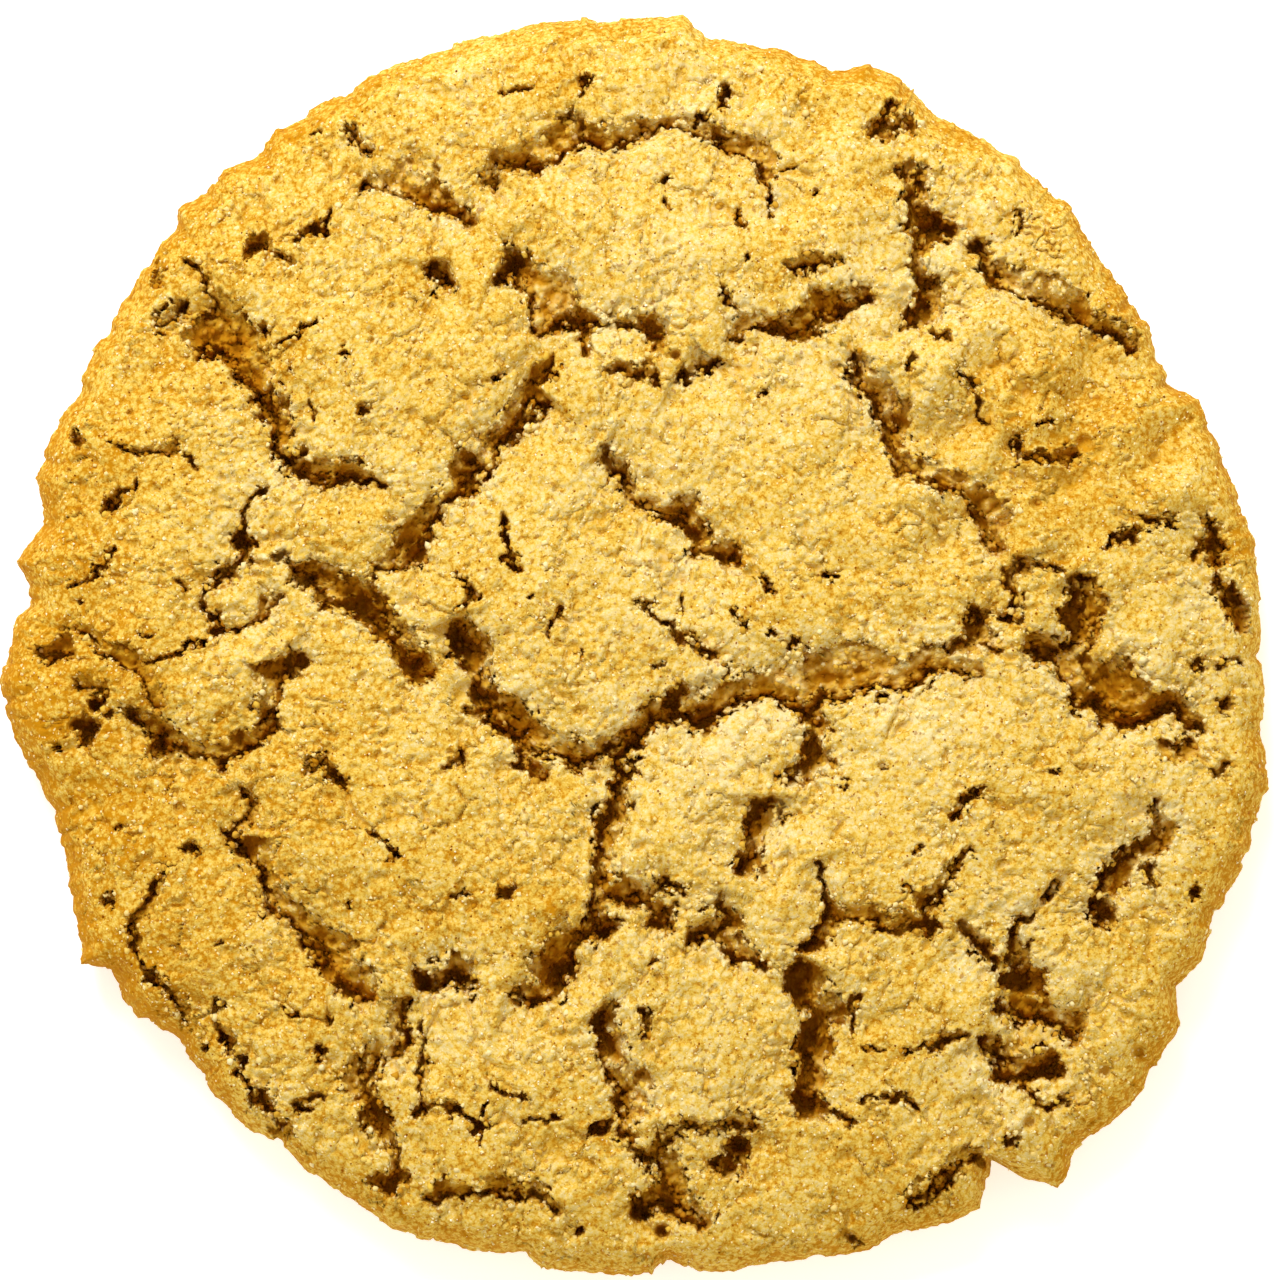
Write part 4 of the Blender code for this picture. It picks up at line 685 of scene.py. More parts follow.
# %% Pits and soft hollows, as x, y, radius and depth
PITS = (
    (35.1, -28.5, 0.5, 1.1), (27.5, -33.4, 0.45, 0.9), (32.8, -29.9, 0.45, 0.9), (32.7, 25.5, 0.35, 0.7),
    (33.0, 23.4, 0.35, 0.7), (31.4, 13.9, 0.6, 0.9), (29.3, 13.0, 0.3, 0.7), (27.9, 9.8, 0.4, 0.8),
    (27.2, 17.5, 0.35, 0.6), (-28.8, 11.5, 0.3, 0.6), (-31.8, -11.5, 0.45, 0.7), (-37.0, -18.0, 0.4, 0.7),
    (-13.4, 40.7, 0.6, 0.9), (26.5, -14.0, 0.3, 0.6), (3.3, 4.4, 0.3, 0.7), (17.2, -8.5, 0.3, 0.5),
    (1.9, -41.1, 0.5, 2.2), (36.3, 12.9, 0.45, 0.7), (2.8, 20.1, 0.35, 1.4), (-4.0, 1.6, 0.25, 0.5),
    (-26.1, 30.8, 0.2, 0.4), (-25.6, 30.3, 0.25, 0.4), (-16.9, 23.5, 0.25, 0.5), (-14.5, 23.1, 0.25, 0.5),
    (-11.4, 37.5, 0.25, 0.5), (-35.3, 16.1, 0.2, 0.6), (-29.0, 9.4, 0.4, 0.5), (-24.2, -13.0, 0.25, 0.5),
)
HOLLOWS = (
    (-6.8, 19.0, 1.6, 0.9), (0.8, 9.9, 2.2, 0.4), (4.4, 7.6, 2.2, 0.5), (-10.4, 13.8, 2.2, 0.5),
    (-12.4, 0.4, 1.3, 0.6), (-5.3, -22.7, 1.3, 0.9), (13.2, -27.5, 1.5, 0.8), (28.0, -27.6, 2.4, 1.0),
    (31.4, -0.6, 3.0, 0.9), (27.4, -23.4, 1.4, 0.8), (-28.5, 22.6, 2.0, 0.7), (0.3, -39.9, 1.8, 0.8),
    (9.4, -12.8, 1.4, 0.5), (-17.0, 5.9, 1.6, 0.6), (21.4, 29.0, 1.6, 0.7), (-34.2, -6.2, 1.5, 0.9),
    (30.5, 13.9, 1.5, 0.7), (-30.0, 22.9, 1.4, 1.1), (-29.4, 21.3, 1.0, 0.8), (7.0, 19.8, 1.1, 0.6),
    (-28.2, -5.6, 0.9, 0.4), (-40.6, -0.6, 1.2, 0.6), (-38.2, -2.9, 1.0, 0.4), (36.8, 13.4, 1.3, 0.9),
    (38.6, 15.8, 0.8, 0.6), (24.6, 19.2, 1.8, 0.7), (29.2, 10.4, 1.5, 0.8), (27.5, 17.4, 1.3, 0.7),
    (29.6, 14.2, 1.3, 0.9), (26.4, 14.0, 0.7, 0.7), (30.5, 17.6, 1.4, 0.6), (34.6, 9.4, 1.5, 0.7),
    (22.6, 13.6, 1.4, 0.6), (32.0, 20.2, 1.6, 0.7),
)
print("pits:", len(PITS), "hollows:", len(HOLLOWS))

# %% [markdown]
# ## From routes to relief
#
# A crack's profile is worked out across its route. From the low plate a steep side drops to the bottom of
# the gap. On the other side the wall of crumb climbs in a slope, and stops short of the high plate, whose
# skin ends in a small crisp edge. Each place needs three numbers for that: how far it is from the route, on
# which side, and how far along. The routes are straight runs, so the places are pushed about by noise
# first, which makes the runs wander a little. Cell noise is added to the distance, which gives the plates
# their lobed edges, and flakes are added too, which leave the edges torn. All of that stays small beside
# the widths given with the points.

# %% Distance from a route
END_TAPER, TAPER_START = 0.5, 0.15


def across_route(x, y, crack):
    """For every place: signed distance from the route, left positive, the wall and gap there, and a taper.

    For each straight run, the nearest point is where the dot product with the run's direction falls, held
    within the run. The sign is that of the cross product. The taper goes from near 0 at the route's ends to
    1 a little inside.
    """
    gap, wall, _, route = crack
    points = np.array([point[:2] for point in route])
    walls = np.array([point[2] if len(point) > 2 else wall for point in route])
    gaps = np.array([point[3] if len(point) > 3 else gap for point in route])
    runs = np.diff(points, axis=0)
    lengths = np.hypot(runs[:, 0], runs[:, 1])
    starts = np.concatenate(((0.0,), np.cumsum(lengths)[:-1]))
    nearest = np.full(x.shape, 1e9)
    signed = np.full(x.shape, 1e9)
    wall_here = np.zeros(x.shape)
    gap_here = np.zeros(x.shape)
    along = np.zeros(x.shape)
    for index, (run, length) in enumerate(zip(runs, lengths)):
        from_x, from_y = x - points[index, 0], y - points[index, 1]
        share = np.clip((from_x * run[0] + from_y * run[1]) / length ** 2, 0.0, 1.0)
        away = np.hypot(from_x - share * run[0], from_y - share * run[1])
        closer = away < nearest
        side = np.where(run[0] * from_y - run[1] * from_x < 0.0, -1.0, 1.0)
        nearest = np.where(closer, away, nearest)
        signed = np.where(closer, away * side, signed)
        wall_here = np.where(closer, walls[index] + (walls[index + 1] - walls[index]) * share, wall_here)
        gap_here = np.where(closer, gaps[index] + (gaps[index + 1] - gaps[index]) * share, gap_here)
        along = np.where(closer, starts[index] + share * length, along)
    total = lengths.sum()
    taper = ease(np.minimum(along, total - along) / min(END_TAPER, total / 3.0) + TAPER_START)
    return signed, wall_here, gap_here, taper


# %% Relief of the cracked skin
WARP_WIDE, WARP_FINE = (3.2, 0.3), (1.3, 0.3)
LOBES, MEAN_NEAREST = ((2.4, 0.3), (1.1, 0.4)), 0.55
FLAKED_LOBES = ((1.6, 0.24), (0.8, 0.26), (0.4, 0.2))
LOBES_OPEN_GAP, LOBES_OPEN_WALL, FULL_LOBES_FROM = 0.3, 0.6, 0.5
FLAKE_WARPS = ((1.3, 0.7), (0.5, 0.35))
HIGH_EDGE, LOW_EDGE = (0.1, 0.5), (0.2, 0.7)
GAP_UNEVENNESS, WALL_UNEVENNESS = (3.4, 0.85, 0.4), (4.0, 0.6, 0.9)
GAP_DEPTH, SHALLOW_SHARE = (1.4, 1.9), 0.3
DEEPEST, LEAST_WALL = 4.0, 0.05
WALL_WIDENING, WIDENED_FROM, WIDENED_SLOPE = 0.25, 0.35, 0.3
WALL_TOP_SHARE, WALL_FOOT_SHARE, FLOOR_HOLLOW = 0.34, 0.62, 0.2
LIP_REACH, RAMP_REACH, RAMP_SHARE = 5.0, 3.5, 0.7
CRACK_REACH, CRACK_FADE = 9.0, 3.0
PLATE_EDGE_GAP, EDGE_FADE = 0.6, 3.0


def pushed_about(places, warps, seed):
    """Places moved on the plane by rolling noise, which makes straight borders between cells ragged."""
    moved = places.copy()
    for axis in range(2):
        moved[:, axis] += sum(amount * rolling(places, size, seed + 9 * axis + level)
                              for level, (size, amount) in enumerate(warps))
    return moved


def crack_relief(x, y):
    """For each place: depth in a crack, what the steps add, the distance from a plate's edge, and the lobes.

    Depth is the largest of the single cracks' depths, so that crossing cracks don't add up. The steps do.
    """
    places = flat_places(x, y)
    warped_x, warped_y, _ = pushed_about(places, (WARP_WIDE, WARP_FINE), WARP_SEED).T
    lobes = sum(amount * (grains(places, size, LOBE_SEED + level)[0] - MEAN_NEAREST)
                for level, (size, amount) in enumerate(LOBES))
    ragged = pushed_about(places, FLAKE_WARPS, WARP_SEED + 80)
    chips, lip_chips = (sum(amount * flakes(ragged, size, LOBE_SEED + 7 + 5 * kind + level)
                            for level, (size, amount) in enumerate(FLAKED_LOBES)) for kind in range(2))
    gap_noise, wall_noise = (
        least + most * np.clip(rolling(places, size, WARP_SEED + 60 + level) + 0.5, 0.0, 1.0)
        for level, (size, least, most) in enumerate((GAP_UNEVENNESS, WALL_UNEVENNESS)))
    depth = np.zeros(x.shape)
    lift = np.zeros(x.shape)
    from_edge = np.full(x.shape, FAR_AWAY)
    for crack in CRACKS.values():
        gap, _, step, route = crack
        corners = np.array([point[:2] for point in route])
        low, high = corners.min(axis=0) - CRACK_REACH, corners.max(axis=0) + CRACK_REACH
        near = np.flatnonzero((x > low[0]) & (x < high[0]) & (y > low[1]) & (y < high[1]))
        signed, wall_here, gap_here, taper = across_route(warped_x[near], warped_y[near], crack)
        shift_share = np.minimum(1.0, gap_here / FULL_LOBES_FROM)
        towards_high = signed * (1.0 if step >= 0.0 else -1.0) + (lobes[near] + chips[near]) * shift_share
        half_gap = gap_here / 2.0 * taper * gap_noise[near]
        widening = WALL_WIDENING * ease((gap_here - WIDENED_FROM) / WIDENED_SLOPE)
        wall_here = (wall_here + widening) * taper * wall_noise[near]
        lobe = (lobes[near] - lip_chips[near]) * shift_share
        low_edge = -towards_high - half_gap - LOBES_OPEN_GAP * lobe
        high_edge = towards_high - half_gap - wall_here - LOBES_OPEN_WALL * lobe
        edge = np.maximum(low_edge, high_edge)
        opened = ease(-high_edge / HIGH_EDGE[0] + HIGH_EDGE[1]) * ease(-low_edge / LOW_EDGE[0] + LOW_EDGE[1])
        up_wall = np.clip((towards_high - half_gap) / np.maximum(wall_here, LEAST_WALL), 0.0, 1.0)
        deepening = SHALLOW_SHARE + (1.0 - SHALLOW_SHARE) * gap_noise[near]
        full_depth = np.minimum(DEEPEST, GAP_DEPTH[0] + GAP_DEPTH[1] * gap_here * deepening) * taper
        wall_share = WALL_FOOT_SHARE + (WALL_TOP_SHARE - WALL_FOOT_SHARE) * up_wall
        gap_share = 1.0 - FLOOR_HOLLOW * np.abs(towards_high) / (half_gap + 0.01)
        floor_share = np.where(towards_high > half_gap, wall_share, gap_share)
        crack_depth = full_depth * floor_share * opened
        depth[near] = np.maximum(depth[near], crack_depth)
        raised = towards_high > 0.0
        fall = np.exp(-np.abs(signed) / np.where(raised, LIP_REACH, RAMP_REACH)) * taper
        fade = ease((CRACK_REACH - np.abs(signed)) / CRACK_FADE)
        lift[near] += np.where(raised, 1.0, -RAMP_SHARE) * abs(step) / 2.0 * fall * fade
        if gap >= PLATE_EDGE_GAP:
            edge_here = np.maximum(edge, 0.0) + (1.0 - taper) * EDGE_FADE
            from_edge[near] = np.minimum(from_edge[near], edge_here)
    return depth, lift, from_edge, lobes


# %% [markdown]
# ## The height of the skin
#
# The whole is a flattened dome. Each plate swells a little away from its edges, like a cushion. Pits are
# small round holes and hollows are soft dents. On top come the lumps of the dough, which are stronger in
# some patches than in others, and then the crust: fine creases and grains, flakes of crust that stand a
# little higher or lower, round pores, and ragged crevices between cells. Along a plate's edge the crust is
# rougher. Inside a crack the crumb is coarser than the skin is.

# %% Height of the top
CENTRE_HEIGHT, SHOULDER_HEIGHT, DOME_POWER = 10.8, 7.4, 3.4
PLATE_SWELL, PLATE_ROUNDING = 1.0, 1.7
SKIN_LUMPS = ((9.0, 0.6), (4.2, 0.38), (2.2, 0.08))
LUMPY_PATCHES = (
    (29.0, 13.0, 12.0, 5.5), (-38.0, 0.0, 9.0, 1.4), (26.0, -26.0, 9.0, 1.2), (-33.0, 23.0, 8.0, 1.2),
    (-16.0, -18.0, 10.0, 0.4), (4.0, 38.0, 12.0, 1.2), (24.0, 33.0, 9.0, 1.4),
)
MEAN_CREASE, MEAN_GRAIN = 0.33, 0.5
SKIN_CREASES, SKIN_CELLS = (0.8, 0.15), (0.6, 0.09)
FLAKES = ((4.4, 0.11), (2.1, 0.1), (1.0, 0.1))
FLAKE_REACH, FLAKE_LEAST = 2.0, 0.4
PORES = ((1.9, 0.45, 0.16), (1.0, 0.28, 0.2))
CRUMB_CREASES, CRUMB_CELLS = (1.2, 1.0), (0.9, 0.9)
CRUMB_FLAKES = ((1.6, 0.35), (0.7, 0.2))
CRUMB_LUMP_SHADE, ALL_CRUMB_DEPTH = 2.2, 0.8
FRINGE_REACH, FRINGE_GAIN = 1.0, 2.0
PIT_SHARPNESS, HOLLOW_SHARPNESS, PIT_SHIFT, HOLLOW_SHADE = 4, 2, 0.15, 0.5
RIM_FADE_POWER, PORE_EDGE = 8, 1.5
CREVICES, CREVICE_PATCHES = ((2.6, 0.55, 0.13), (1.5, 0.42, 0.13)), (3.4, 0.25)


def dents(x, y, table, sharpness):
    """Depth of round dents: each falls off with the distance from its middle, as a bell raised to a power."""
    total = np.zeros(x.shape)
    for dent_x, dent_y, radius, depth in table:
        distance = np.hypot(x - dent_x, y - dent_y) / radius
        total = np.maximum(total, depth * np.exp(-distance ** sharpness))
    return total


def top_height(x, y, reach):
    """Height of the top, and for the colours the depth in a crack with painted shade added, the relief and
    the distance from an edge.

    Dome, plus swelling of the plates, plus steps, less the cracks, pits and hollows, plus the lumps.
    """
    depth, lift, from_edge, lobes = crack_relief(x, y)
    pits = dents(x + PIT_SHIFT * lobes, y - PIT_SHIFT * lobes, PITS, PIT_SHARPNESS)
    hollows = dents(x, y, HOLLOWS, HOLLOW_SHARPNESS)
    places = flat_places(x, y)
    rim_fade = 1.0 - reach ** RIM_FADE_POWER
    height = SHOULDER_HEIGHT + (CENTRE_HEIGHT - SHOULDER_HEIGHT) * (1.0 - reach ** DOME_POWER)
    height += PLATE_SWELL * (1.0 - np.exp(-from_edge / PLATE_ROUNDING)) * rim_fade + lift
    lumpiness = 1.0 + sum(amount * np.exp(-((x - patch_x) ** 2 + (y - patch_y) ** 2) / radius ** 2)
                          for patch_x, patch_y, radius, amount in LUMPY_PATCHES)
    for level, (size, amount) in enumerate(SKIN_LUMPS):
        height += amount * rolling(places, size, LUMP_SEED + level) * (lumpiness if level else 1.0)
    in_crack = ease(depth / ALL_CRUMB_DEPTH)
    ragged = pushed_about(places, FLAKE_WARPS, WARP_SEED + 80)
    crevices = np.zeros(x.shape)
    for level, (size, amount, width) in enumerate(CREVICES):
        first, second = grains(ragged, size, LUMP_SEED + 5 + level)
        opened = ease(rolling(places, CREVICE_PATCHES[0], LUMP_SEED + 8 + level) / CREVICE_PATCHES[1])
        crevices = np.maximum(crevices, amount * ease(1.0 - (second - first) / width) * opened)
    for level, (size, amount, width) in enumerate(PORES):
        middle = grains(ragged, size, LUMP_SEED + 13 + level)[0] / width
        crevices = np.maximum(crevices, amount * ease(PORE_EDGE - middle))
    fringe = 1.0 + FRINGE_GAIN * np.exp(-from_edge / FRINGE_REACH)
    flaked = sum(amount * flakes(ragged, size, LUMP_SEED + 16 + level)
                 for level, (size, amount) in enumerate(FLAKES))
    flaked *= FLAKE_LEAST + (1.0 - FLAKE_LEAST) * np.exp(-from_edge / FLAKE_REACH)
    skin_relief, crumb_relief = (
        creases[1] * (creased(places, creases[0], LUMP_SEED + 10 + kind) - MEAN_CREASE)
        + cells[1] * (MEAN_GRAIN - grains(places, cells[0], LUMP_SEED + 20 + kind)[0])
        for kind, (creases, cells) in enumerate(((SKIN_CREASES, SKIN_CELLS), (CRUMB_CREASES, CRUMB_CELLS))))
    crumb_relief += sum(amount * flakes(ragged, size, CRUMB_SEED + level)
                        for level, (size, amount) in enumerate(CRUMB_FLAKES))
    skin_relief = (skin_relief * fringe + flaked) * (1.0 - in_crack)
    crumb_relief = crumb_relief * in_crack
    deepest = np.maximum(np.maximum(depth, pits), crevices)
    # For the colours, hollows and the creases between crumb lumps count deeper and lump tops shallower:
    # painted shade.
    depth_and_painted_shade = deepest + HOLLOW_SHADE * hollows - CRUMB_LUMP_SHADE * crumb_relief
    return height + skin_relief + crumb_relief - deepest - hollows, depth_and_painted_shade, skin_relief, from_edge


# %% [markdown]
# ## A grid that crowds towards the cracks
#
# The surface is a square grid pressed into the round cookie. Even spacing would waste points on the plates
# and leave the crack edges blurred, so the grid is relaxed first: again and again each point moves towards
# the mean of its four neighbours, and a neighbour pulls harder where a plate's edge is near. Cells shrink
# there and grow elsewhere. Such moves travel slowly across a fine grid, so a coarse grid is relaxed first,
# then split in four and relaxed again. The outermost ring of the top, the shoulder, slides round with its
# neighbours, so that no cell folds over.

# %% Ragged rim and smooth shoulder
SHOULDER_SMOOTHING, SHOULDER_INSET = 4.0, 1.9
CHIP_START, CHIP_SLOPE, CHIP_LEAST = 0.12, 0.12, 0.3
even_radii = rim_radius(rim_angles)
rim_places = flat_places(np.cos(rim_angles) * even_radii, np.sin(rim_angles) * even_radii)
rim_chips = ease((rolling(rim_places, RIM_CHIPS[0], WARP_SEED + 50) - CHIP_START) / CHIP_SLOPE)
rim_chips *= RIM_CHIPS[1] * (CHIP_LEAST + CHIP_LEAST * rough(rim_places, 1.1, WARP_SEED + 55, 2))
ragged_radii = even_radii + RIM_ROUGHNESS[1] * rough(rim_places, RIM_ROUGHNESS[0], WARP_SEED + 40, 4)
ragged_radii -= rim_chips
ragged_rim = pushed_about(rim_places, (RIM_FLAKE_WARP,), WARP_SEED + 90)
ragged_radii += sum(amount * flakes(ragged_rim, size, LUMP_SEED + 50 + level)
                    for level, (size, amount) in enumerate(RIM_FLAKES))


def smoothed(radii, degrees):
    """Moving mean round the rim over a span of degrees."""
    width = int(RIM_STEPS * degrees / 360.0) | 1
    wrapped = np.concatenate((radii[-(width // 2):], radii, radii[:width // 2]))
    return np.convolve(wrapped, np.full(width, 1.0 / width), mode="valid")


def round_the_rim(angle, radii):
    """Radius towards an angle, from a table of radii round the rim."""
    return np.interp(angle, rim_angles, radii, period=2.0 * np.pi)


shoulder_radii = smoothed(ragged_radii, SHOULDER_SMOOTHING) - SHOULDER_INSET
print("rim radius, mm:", round(float(ragged_radii.min()), 1), "to", round(float(ragged_radii.max()), 1))

# %% Square grid pressed into a disc
COARSE_CELLS, COARSE_TOP_CELLS = 156, 138
SPLITS = 2
TOP_SHARE = COARSE_TOP_CELLS / COARSE_CELLS


def press_into_disc(cells):
    """Ring share and angle of each grid point.

    Each square ring of the grid becomes a round one, and the place along its side becomes the angle.
    """
    steps = np.linspace(-1.0, 1.0, cells + 1)
    u, v = np.meshgrid(steps, steps, indexing="ij")
    wide = np.abs(u) > np.abs(v)
    ring = np.where(wide, u, v)
    safe = np.where(ring == 0.0, 1.0, ring)
    angle = np.where(wide, np.pi / 4.0 * v / safe, np.pi / 2.0 - np.pi / 4.0 * u / safe)
    return np.abs(ring), np.arctan2(ring * np.sin(angle), ring * np.cos(angle))


print("coarse grid points:", (COARSE_CELLS + 1) ** 2)

# %% Pull of the crack edges, on a plain map
CROWDING, FULL_PULL_SLOPE, SMOOTHING_ROUNDS, PULL_GAIN = 1.8, 2.5, 4, 1.4
MAP_STEP, MAP_REACH = 0.12, 46.0
map_side = int(2 * MAP_REACH / MAP_STEP)
map_line = (np.arange(map_side) + 0.5) * MAP_STEP - MAP_REACH
map_x, map_y = (axis.ravel() for axis in np.meshgrid(map_line, map_line, indexing="ij"))
map_depth = crack_relief(map_x, map_y)[0].reshape(map_side, map_side)
slope_x, slope_y = np.gradient(map_depth, MAP_STEP)
pull_map = np.clip(np.hypot(slope_x, slope_y) / FULL_PULL_SLOPE, 0.0, 1.0)
for _ in range(SMOOTHING_ROUNDS):
    padded = np.pad(pull_map, 1, mode="edge")
    beside = padded[:-2, 1:-1] + padded[2:, 1:-1] + padded[1:-1, :-2] + padded[1:-1, 2:]
    pull_map = (beside + 2 * pull_map) / 6.0
pull_map = 1.0 + CROWDING * np.clip(pull_map * PULL_GAIN, 0.0, 1.0)
print("share of the map near a crack edge:", round(float((pull_map > 0.5 * CROWDING + 1.0).mean()), 3))

# %% Relax the grid
RELAX_ROUNDS, ROUNDS_TO_A_LOOK, RELAX_DAMPING = 300, 10, 0.6


def pull_at(x, y):
    """Pull of the crack edges at each place, blended between the four nearest cells of the map."""
    column, row = ((axis + MAP_REACH) / MAP_STEP - 0.5 for axis in (x, y))
    left = np.clip(column.astype(int), 0, map_side - 2)
    under = np.clip(row.astype(int), 0, map_side - 2)
    right_share, top_share = column - left, row - under
    bottom = pull_map[left, under] * (1.0 - right_share) + pull_map[left + 1, under] * right_share
    top = pull_map[left, under + 1] * (1.0 - right_share) + pull_map[left + 1, under + 1] * right_share
    return bottom * (1.0 - top_share) + top * top_share


def split_cells(plane):
    """A grid with twice the cells: new points lie halfway between the old ones."""
    finer = np.empty((plane.shape[0] * 2 - 1, plane.shape[1] * 2 - 1))
    finer[::2, ::2] = plane
    finer[1::2, ::2] = (plane[1:] + plane[:-1]) / 2.0
    finer[:, 1::2] = (finer[:, 2::2] + finer[:, :-2:2]) / 2.0
    return finer


def sorted_pairs(keys, values):
    """Two matching arrays, in the order of the first."""
    order = np.argsort(keys)
    return keys[order], values[order]


def slide_shoulder(grid_x, grid_y, ring_share, angle):
    """Turns each point of the shoulder ring to the angle of its neighbour on the next ring in.

    Beside the four corners of the square several points have the same neighbour, so their turn is blended
    from the points around them. Returns the turn for every grid point, by its angle in the even grid.
    """
    cells = len(grid_x) - 1
    row, column = np.nonzero(np.abs(ring_share - TOP_SHARE) < 0.5 / cells)
    low, high = row.min() + 1, row.max() - 1
    inner = np.clip(row, low, high), np.clip(column, low, high)
    turn = np.arctan2(grid_y[inner], grid_x[inner]) - angle[row, column]
    turn = (turn + np.pi) % (2.0 * np.pi) - np.pi
    middle = cells // 2
    plain = (np.abs(row - middle) < high - middle - 1) | (np.abs(column - middle) < high - middle - 1)
    turns = np.interp(angle, *sorted_pairs(angle[row, column][plain], turn[plain]), period=2.0 * np.pi)
    slid = angle[row, column] + turns[row, column]
    radius = round_the_rim(slid, shoulder_radii)
    grid_x[row, column], grid_y[row, column] = radius * np.cos(slid), radius * np.sin(slid)
    return turns


def relax(grid_x, grid_y, ring_share, angle):
    """Moves each inner point again and again towards the mean of its neighbours, weighed by their pull."""
    free = (ring_share < TOP_SHARE - 0.5 / len(grid_x))[1:-1, 1:-1]
    for relax_round in range(RELAX_ROUNDS):
        if relax_round % ROUNDS_TO_A_LOOK == 0:
            turns = slide_shoulder(grid_x, grid_y, ring_share, angle)
            pull = pull_at(grid_x, grid_y)
            across, down = pull[1:] + pull[:-1], pull[:, 1:] + pull[:, :-1]
            west, east, south, north = across[:-1, 1:-1], across[1:, 1:-1], down[1:-1, :-1], down[1:-1, 1:]
            total = west + east + south + north
        for plane in (grid_x, grid_y):
            mean = west * plane[:-2, 1:-1] + east * plane[2:, 1:-1]
            mean = (mean + south * plane[1:-1, :-2] + north * plane[1:-1, 2:]) / total
            plane[1:-1, 1:-1] += np.where(free, RELAX_DAMPING * (mean - plane[1:-1, 1:-1]), 0.0)
    return turns


grid_cells = COARSE_CELLS
ring_share, angle = press_into_disc(grid_cells)
radius = np.minimum(ring_share / TOP_SHARE, 1.0) * round_the_rim(angle, shoulder_radii)
grid_x, grid_y = radius * np.cos(angle), radius * np.sin(angle)
turns = relax(grid_x, grid_y, ring_share, angle)
for _ in range(SPLITS):
    grid_cells *= 2
    grid_x, grid_y = split_cells(grid_x), split_cells(grid_y)
    ring_share, angle = press_into_disc(grid_cells)
    turns = relax(grid_x, grid_y, ring_share, angle)
    print("cells to a side:", grid_cells)
grid_points = grid_cells + 1
on_top = ring_share < TOP_SHARE + 0.5 / grid_cells
angle = np.where(on_top, np.arctan2(grid_y, grid_x), angle + turns)
step_x, step_y = (np.diff(plane, axis=0)[:, 1:] for plane in (grid_x, grid_y))
rise_x, rise_y = (np.diff(plane, axis=1)[1:] for plane in (grid_x, grid_y))
whole_cell_on_top = on_top[1:, 1:] & on_top[:-1, :-1] & on_top[1:, :-1] & on_top[:-1, 1:]
cell_spread = (step_x * rise_y - step_y * rise_x)[whole_cell_on_top]
cell_widths = np.percentile(np.sqrt(np.maximum(cell_spread, 0.0)), (1, 25, 50, 75, 99))
print("cell width, mm:", np.round(cell_widths, 3), "folded cells:", int((cell_spread <= 0.0).sum()))

# %% [markdown]
# ## The side and the foot
#
# Past the shoulder the same grid runs on down the side. Its profile is a curve through a few insets and
# heights: over the rounded shoulder, out to the widest line, back in to the foot and a little way under.
# The last ring is closed with one flat face, the underside that lay on the tray. The side is smoother than
# the top, and it takes lumps along its own outward direction.

# %% Lift the grid into the cookie
SIDE_PROFILE = (
    (0.0, 1.9, 7.4), (0.12, 1.25, 6.6), (0.25, 0.65, 5.6), (0.42, 0.12, 4.1), (0.55, 0.0, 3.0),
    (0.68, 0.15, 1.8), (0.78, 0.5, 0.8), (0.86, 1.0, 0.25), (0.92, 1.7, 0.03), (1.0, 3.2, 0.0),
)
SIDE_LUMPS, SIDE_CREASES = (4.0, 0.3), (1.6, 0.25)
FOOT_EVENNESS, FOOT_START, FOOT_SPAN = 0.75, 0.55, 0.35
RAGGED_FROM, LUMPS_END_AT, LUMPY_SIDE_END, FLAT_FROM = 0.2, 0.5, 0.93, 0.9

side_share = np.where(on_top, 0.0, np.clip((ring_share - TOP_SHARE) / (1.0 - TOP_SHARE), 0.0, 1.0))
profile_share, profile_inset, profile_height = np.array(SIDE_PROFILE).T
inset = np.interp(side_share, profile_share, profile_inset)
side_height = np.interp(side_share, profile_share, profile_height)
smooth_foot = 1.0 - FOOT_EVENNESS * ease((side_share - FOOT_START) / FOOT_SPAN)
raggedness = ease(side_share / RAGGED_FROM) * smooth_foot
smooth_rim = round_the_rim(angle, shoulder_radii + SHOULDER_INSET)
side_radius = smooth_rim + (round_the_rim(angle, ragged_radii) - smooth_rim) * raggedness - inset
side_x, side_y = side_radius * np.cos(angle), side_radius * np.sin(angle)

flat_x = np.where(on_top, grid_x, side_x).ravel()
flat_y = np.where(on_top, grid_y, side_y).ravel()
flat_angle = np.arctan2(flat_y, flat_x)
reach = np.clip(np.hypot(flat_x, flat_y) / round_the_rim(flat_angle, shoulder_radii), 0.0, 1.0)
height, depth, skin_relief, from_edge = top_height(flat_x, flat_y, reach)
side_flat = side_share.ravel()
down = 1.0 - ease(side_flat / LUMPS_END_AT)
body_z = np.where(side_flat > 0.0, side_height.ravel() + (height - SHOULDER_HEIGHT) * down, height)
places = np.stack((flat_x, flat_y, body_z), axis=1)
bulge = SIDE_LUMPS[1] * rolling(places, SIDE_LUMPS[0], LUMP_SEED + 30)
bulge += SIDE_CREASES[1] * (creased(places, SIDE_CREASES[0], LUMP_SEED + 40) - MEAN_CREASE)
on_side = ease(side_flat / 0.15) * ease((LUMPY_SIDE_END - side_flat) / 0.1)
outward = bulge * on_side
places[:, 0] += outward * np.cos(flat_angle)
places[:, 1] += outward * np.sin(flat_angle)
places[:, 2] = np.where(side_flat > FLAT_FROM, 0.0, np.maximum(places[:, 2], 0.0))
lowest_gap = places[side_flat == 0, 2].min()
print("highest plate, mm:", round(float(places[:, 2].max()), 2), "lowest gap:", round(float(lowest_gap), 2))

